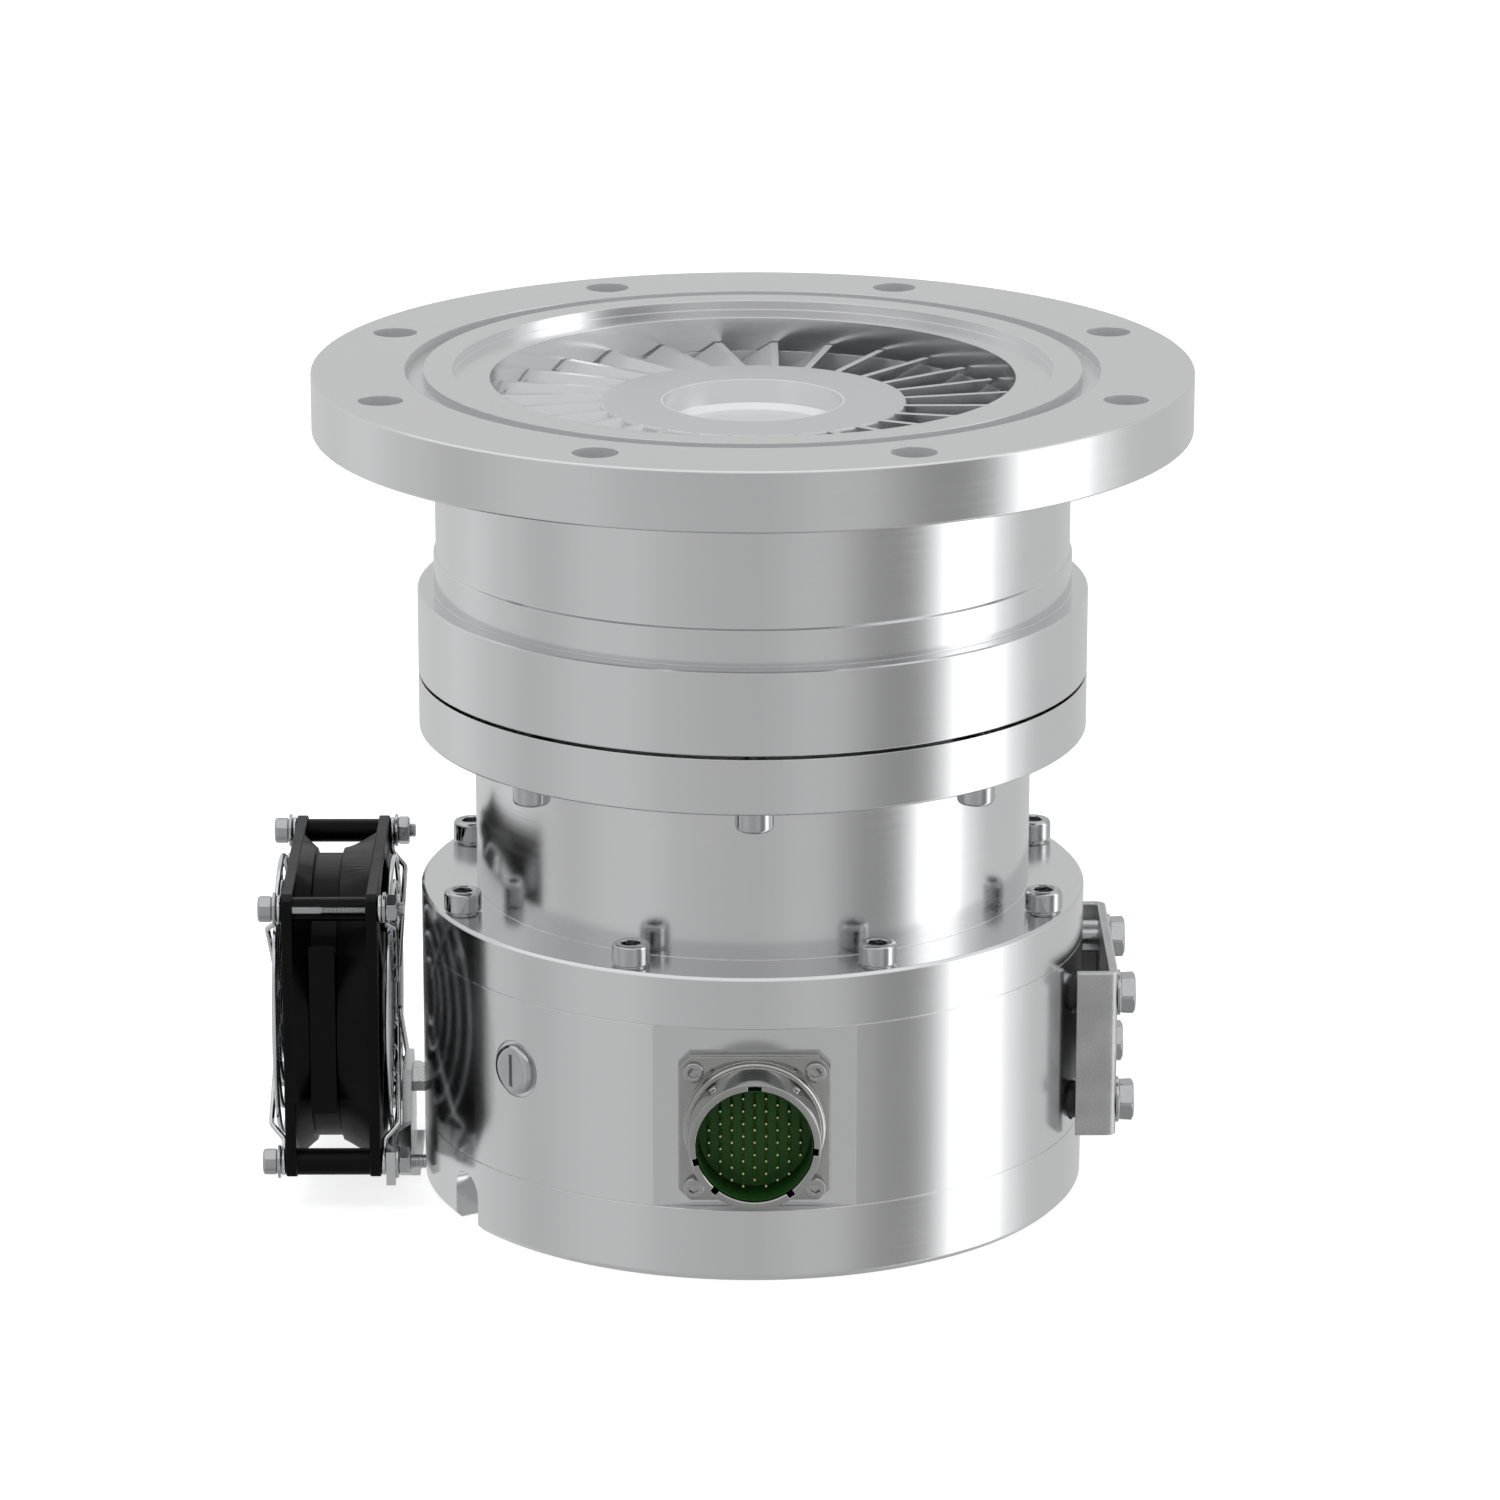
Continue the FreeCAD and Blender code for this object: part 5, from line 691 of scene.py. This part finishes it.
# Zinc-plated sheet is pale, and its rolled grain blurs what it mirrors; its edges carry a painted highlight.
sheet = finish_of("zinc_plated_sheet", "#D4D5D5", "#DCDCDD", grain=0.8 * mm, rough=0.24, relief=0.003 * mm,
                  edge="#F0F0F0")
dress(sheet, "fan_bracket", "fan_stud")

fan_x, fan_z, bolt_reach = -100.4, 50.0, 35.75


def on_fan(points):
    """Metres on the pump from the fan's own millimetres: z runs outwards from its inner face."""
    x, y, z = np.moveaxis(np.asarray(points, float), -1, 0)
    return mm * np.stack([fan_x - z, -x, fan_z + y], -1)


fan_axes = dict(x_axes=(0, -1, 0), y_axes=(0, 0, 1), z_axes=(-1, 0, 0))
fan_corners = [(x * bolt_reach, y * bolt_reach) for y in (-1, 1) for x in (-1, 1)]

# The housing has two square flanges with rounded corners. Between them the duct flares from its
# neck to each flange, with a flat pad at the front, and all of it ends at the square's sides.
# Four posts hold the corners apart; the upper two are open on one side and show their bolts.

half_side, flange_thick, depth = 40.0, 2.9, 25.5
duct_bore, neck, corner_round = 37.3, 38.6, 4.0
pad_low, pad_high = -20.6, 26.4
pad_ends = np.degrees(np.arctan2([pad_low - 0.2, pad_low, pad_high, pad_high + 0.2], half_side))
corner_turn = math.degrees(math.atan2(half_side - corner_round, half_side))
marks = [np.arange(0, 360, 90) + corner_turn, np.arange(0, 360, 90) - corner_turn, pad_ends]
duct_turn = np.radians(np.unique(np.concatenate([np.arange(0, 360, 3.0), *marks]) % 360))
steep, flat = np.abs(np.sin(duct_turn)), np.abs(np.cos(duct_turn))


def in_square(radius):
    """Reach of the duct: its radius, or the square's side where that is nearer."""
    return np.minimum(radius, half_side / np.maximum(steep, flat))


def padded(radius):
    """Reach of the duct where it has its pad: the square's side on it, its radius elsewhere."""
    across = half_side * np.tan(duct_turn)
    on_pad = (np.cos(duct_turn) > 0.5) & (across > pad_low - 0.1) & (across < pad_high + 0.1)
    return np.where(on_pad, half_side / flat, in_square(radius))


def flange(inset):
    """Reach of a flange: the square's side, and in its corners the far crossing with the arc."""
    middle = half_side - corner_round
    plain = (half_side - inset) / np.maximum(steep, flat)
    across = middle * (steep + flat)
    arc = across + np.sqrt(np.maximum(across ** 2 - 2 * middle ** 2 + (corner_round - inset) ** 2, 0))
    return np.where(plain * np.minimum(steep, flat) > middle, arc, plain)


bore_reach = in_square(duct_bore)
outer_flange = depth - flange_thick
duct = ring_of([(bore_reach, 0.3), (bore_reach + 0.3, 0.0), (flange(0.2), 0.0), (flange(0.0), 0.2),
                (flange(0.0), flange_thick - 0.2), (flange(0.2), flange_thick),
                (in_square(44.7), flange_thick + 0.05), (in_square(half_side), 11.0),
                (in_square(neck), 11.45), (padded(neck), 11.46), (padded(neck), 18.26),
                (in_square(neck), 18.27), (in_square(half_side), 18.6),
                (in_square(43.8), outer_flange - 0.05), (flange(0.2), outer_flange),
                (flange(0.0), outer_flange + 0.2), (flange(0.0), depth - 0.2), (flange(0.2), depth),
                (bore_reach + 0.3, depth), (bore_reach, depth - 0.3)], duct_turn)


def split_post(outer, inner, slit, bottom, top, towards):
    """A tube along Z, in millimetres, with a slit that opens towards an angle. The slit's half angle
    has a sine of half its width over the outer radius, and four lines of points run round the tube."""
    steps = 25
    half = math.asin(slit / 2 / outer)
    around = towards + np.linspace(half, 2 * math.pi - half, steps)
    rim = np.stack([np.cos(around), np.sin(around), 0 * around], -1)
    up = np.array([0.0, 0.0, 1.0])
    rows = np.stack([outer * rim + bottom * up, outer * rim + top * up, inner * rim + top * up,
                     inner * rim + bottom * up], 1)
    last = 4 * steps - 1
    ends = np.array([[0, 1, 2, 3], [last, last - 1, last - 2, last - 3]])
    return rows.reshape(-1, 3), [np.concatenate([grid_faces(steps, 4, closed=True), ends])]


def bar(low, high):
    """A plain bar between two corners."""
    picks = np.stack(np.meshgrid([0, 1], [0, 1], [0, 1], indexing="ij"), -1).reshape(-1, 3)
    walls = np.array([[0, 1, 3, 2], [4, 6, 7, 5], [0, 4, 5, 1], [2, 3, 7, 6], [0, 2, 6, 4], [1, 5, 7, 3]])
    return np.where(picks, high, low).astype(float), [walls]


housing = [placed(duct, on_fan([0, 0, 0]), **fan_axes)]
post_foot, post_top = flange_thick - 0.2, outer_flange + 0.2
for x, y in fan_corners:
    if y < 0:
        points, faces = revolved([(3.6, post_foot), (3.6, post_top)], 32)
        points = points / mm
    else:
        towards = 0.0 if x > 0 else math.pi
        points, faces = split_post(outer=3.2, inner=2.15, slit=3.6, bottom=post_foot, top=post_top, towards=towards)
    housing.append((on_fan(points + (x, y, 0)), faces))
arm_half, arm_thick = 2.0, 2.0
arm, arm_faces = bar((16.5, -arm_half, 0.0), (duct_bore + 0.6, arm_half, arm_thick))
for quarter in np.radians(45 + 90 * np.arange(4)):
    c, s = math.cos(quarter), math.sin(quarter)
    housing.append((on_fan(arm @ np.array([[c, s, 0], [-s, c, 0], [0, 0, 1]])), arm_faces))
motor_plate = revolved([(1.6, 0.0), (16.7, 0.0), (17.0, 0.3), (17.0, 2.0), (3.2, 2.0), (3.2, 18.5), (1.6, 18.5)], 48,
                       hollow=True)
housing.append(placed(motor_plate, on_fan([0, 0, 0]), **fan_axes))
piece("fan_housing", joined(housing), painted_top_light, "pump", "fan_plastic", "fan_frame")

# Two guards of bright chromed wire, 1.5 mm thick: five rings, four spokes welded on them, and an eye
# at each bolt. A wire is a circle carried along a flat path. Chrome is the brightest mirror here.

wire_thick = 1.5


def wire(path, normal, closed=True, sides=8):
    """A tube round a flat path: each ring turns between the path's side, which is the plane's
    normal crossed with its direction, and the normal."""
    path, normal = np.asarray(path, float), np.asarray(normal, float)
    along = np.roll(path, -1, 0) - np.roll(path, 1, 0) if closed else np.gradient(path, axis=0)
    along /= np.linalg.norm(along, axis=1, keepdims=True)
    side = np.cross(normal, along)
    turn = (np.arange(sides) + 0.5) * 2 * np.pi / sides
    outline = np.cos(turn)[:, None] * side[:, None] + np.sin(turn)[:, None] * normal
    rings = path[:, None] + wire_thick / 2 * outline
    points = rings.reshape(-1, 3)
    quads = grid_faces(len(path), sides, closed=True)[:, ::-1]
    start = np.arange(sides)
    after = (start + 1) % sides
    far = (len(path) - 1) * sides
    if closed:
        return points, [np.concatenate([quads, np.stack([after + far, start + far, start, after], -1)])]
    ends = np.concatenate([np.stack([start, after, np.full(sides, len(points))], -1),
                           np.stack([after + far, start + far, np.full(sides, len(points) + 1)], -1)])
    return np.concatenate([points, path[:1], path[-1:]]), [quads, ends[:, ::-1]]


def bent(corners, cut, steps=6):
    """A path whose corners are rounded: each is the parabola between two points a cut before and
    after it, whose control point is the corner."""
    corners = np.asarray(corners, float)
    before = corners[:-2] - corners[1:-1]
    beyond = corners[2:] - corners[1:-1]
    a = corners[1:-1] + before * cut / np.linalg.norm(before, axis=1, keepdims=True)
    c = corners[1:-1] + beyond * cut / np.linalg.norm(beyond, axis=1, keepdims=True)
    t = np.linspace(0, 1, steps)[None, :, None]
    arcs = (1 - t) ** 2 * a[:, None] + 2 * t * (1 - t) * corners[1:-1, None] + t ** 2 * c[:, None]
    return np.concatenate([corners[:1], arcs.reshape(-1, 3), corners[-1:]])


def circle(radius, level, count, middle=(0.0, 0.0)):
    """Points round a circle at a level."""
    turn = np.arange(count) * 2 * np.pi / count
    x, y = middle
    return np.stack([x + radius * np.cos(turn), y + radius * np.sin(turn), 0 * turn + level], -1)


def guard(face, outward):
    """One guard in the fan's millimetres, standing on a face and risen away from it: each spoke runs
    from the inner ring out over the others to a knee, and down to its foot beside the eye."""
    inner_ring, outer_ring, ring_level = 9.0, 37.8, 2.4
    start, start_level, knee_level, lying, bend = 8.3, 3.45, 4.5, wire_thick / 2, 0.9
    eye, eye_radius = bolt_reach * math.sqrt(2), 3.0
    foot, end = eye - 6.66, eye - 2.7
    shapes = [wire(circle(r, ring_level, 96), (0, 0, 1)) for r in np.linspace(inner_ring, outer_ring, 5)]
    knee = outer_ring + wire_thick
    run = bent([(start, 0, start_level), (knee, 0, knee_level), (foot, 0, lying), (end, 0, lying)], bend)
    for quarter in np.radians(45 + 90 * np.arange(4)):
        c, s = np.cos(quarter), np.sin(quarter)
        turned = run @ np.array([[c, s, 0], [-s, c, 0], [0, 0, 1]])
        shapes.append(wire(turned, (s, -c, 0), closed=False))
        shapes.append(wire(circle(eye_radius, lying, 24, (eye * c, eye * s)), (0, 0, 1)))
    points, faces = joined(shapes)
    if not outward:
        points = points * (1, -1, -1)
    return on_fan(points + (0, 0, face)), faces


chrome = finish_of("chromed_wire", "#D4D5D8", "#E6E7EA", grain=0.6 * mm, rough=0.1, relief=0.004 * mm)
piece("outer_guard", guard(depth, True), chrome, "pump", "chrome_wire", "fan_guard_outer", crease=60)
piece("inner_guard", guard(0.0, False), chrome, "pump", "chrome_wire", "fan_guard_inner", crease=60)

# Four M4 cap screws run through the fan, a washer under each head and nut. The upper two lie bare
# between the frame's flanges, so that their threads show. The lower two also hold the bracket's
# sheet and stand further out of their nuts.

washer_thick, nut_thick, sheet_thick = 0.8, 3.2, 2.5
head_seat = depth + wire_thick + washer_thick
fan_washer = revolved([(2.25, 0.0), (4.35, 0.0), (4.5, 0.12), (4.5, 0.68), (4.35, washer_thick), (2.25, washer_thick)],
                      40, hollow=True)
nut_face, nut_half_flats, corner_slope = 3.3, 3.5, 0.577
cone = [(r, (r - nut_face) * corner_slope) for r in np.linspace(4.04, nut_face, 5)]
nut_rows = [(2.05, 0.3), (2.3, 0.0)] + [(r, fall, nut_half_flats, 0) for r, fall in cone[::-1]]
nut_rows += [(r, nut_thick - fall, nut_half_flats, 0) for r, fall in cone] + [(2.3, nut_thick), (2.05, 2.9)]
fan_nut = revolved(nut_rows, 48, hollow=True)
screws, washers, nuts = [], [], []
for x, y in fan_corners:
    sheets, threaded, spare = (sheet_thick, 27.0, 4.2) if y < 0 else (0.0, 22.0, 1.7)
    stack = wire_thick + sheets
    length = head_seat + stack + washer_thick + nut_thick + spare
    screw = cap_screw(shank=4.0, head=7.0, height=4.0, socket=3.0, length=length, pitch=0.7, threaded=threaded,
                      ridge=0.03)
    screws.append(placed(screw, on_fan([x, y, head_seat]), **fan_axes))
    for level in (head_seat, -stack):
        washers.append(placed(fan_washer, on_fan([x, y, level - washer_thick]), **fan_axes))
    nuts.append(placed(fan_nut, on_fan([x, y, -stack - washer_thick - nut_thick]), **fan_axes))
piece("fan_cap_screws", joined(screws), zinc, "pump", "plated_screw", "fan_bolts")
piece("thin_washers", joined(washers), zinc, "pump", "plated_screw", "fan_washers")
piece("hexagon_nuts", joined(nuts), zinc, "pump", "plated_screw", "fan_nuts")
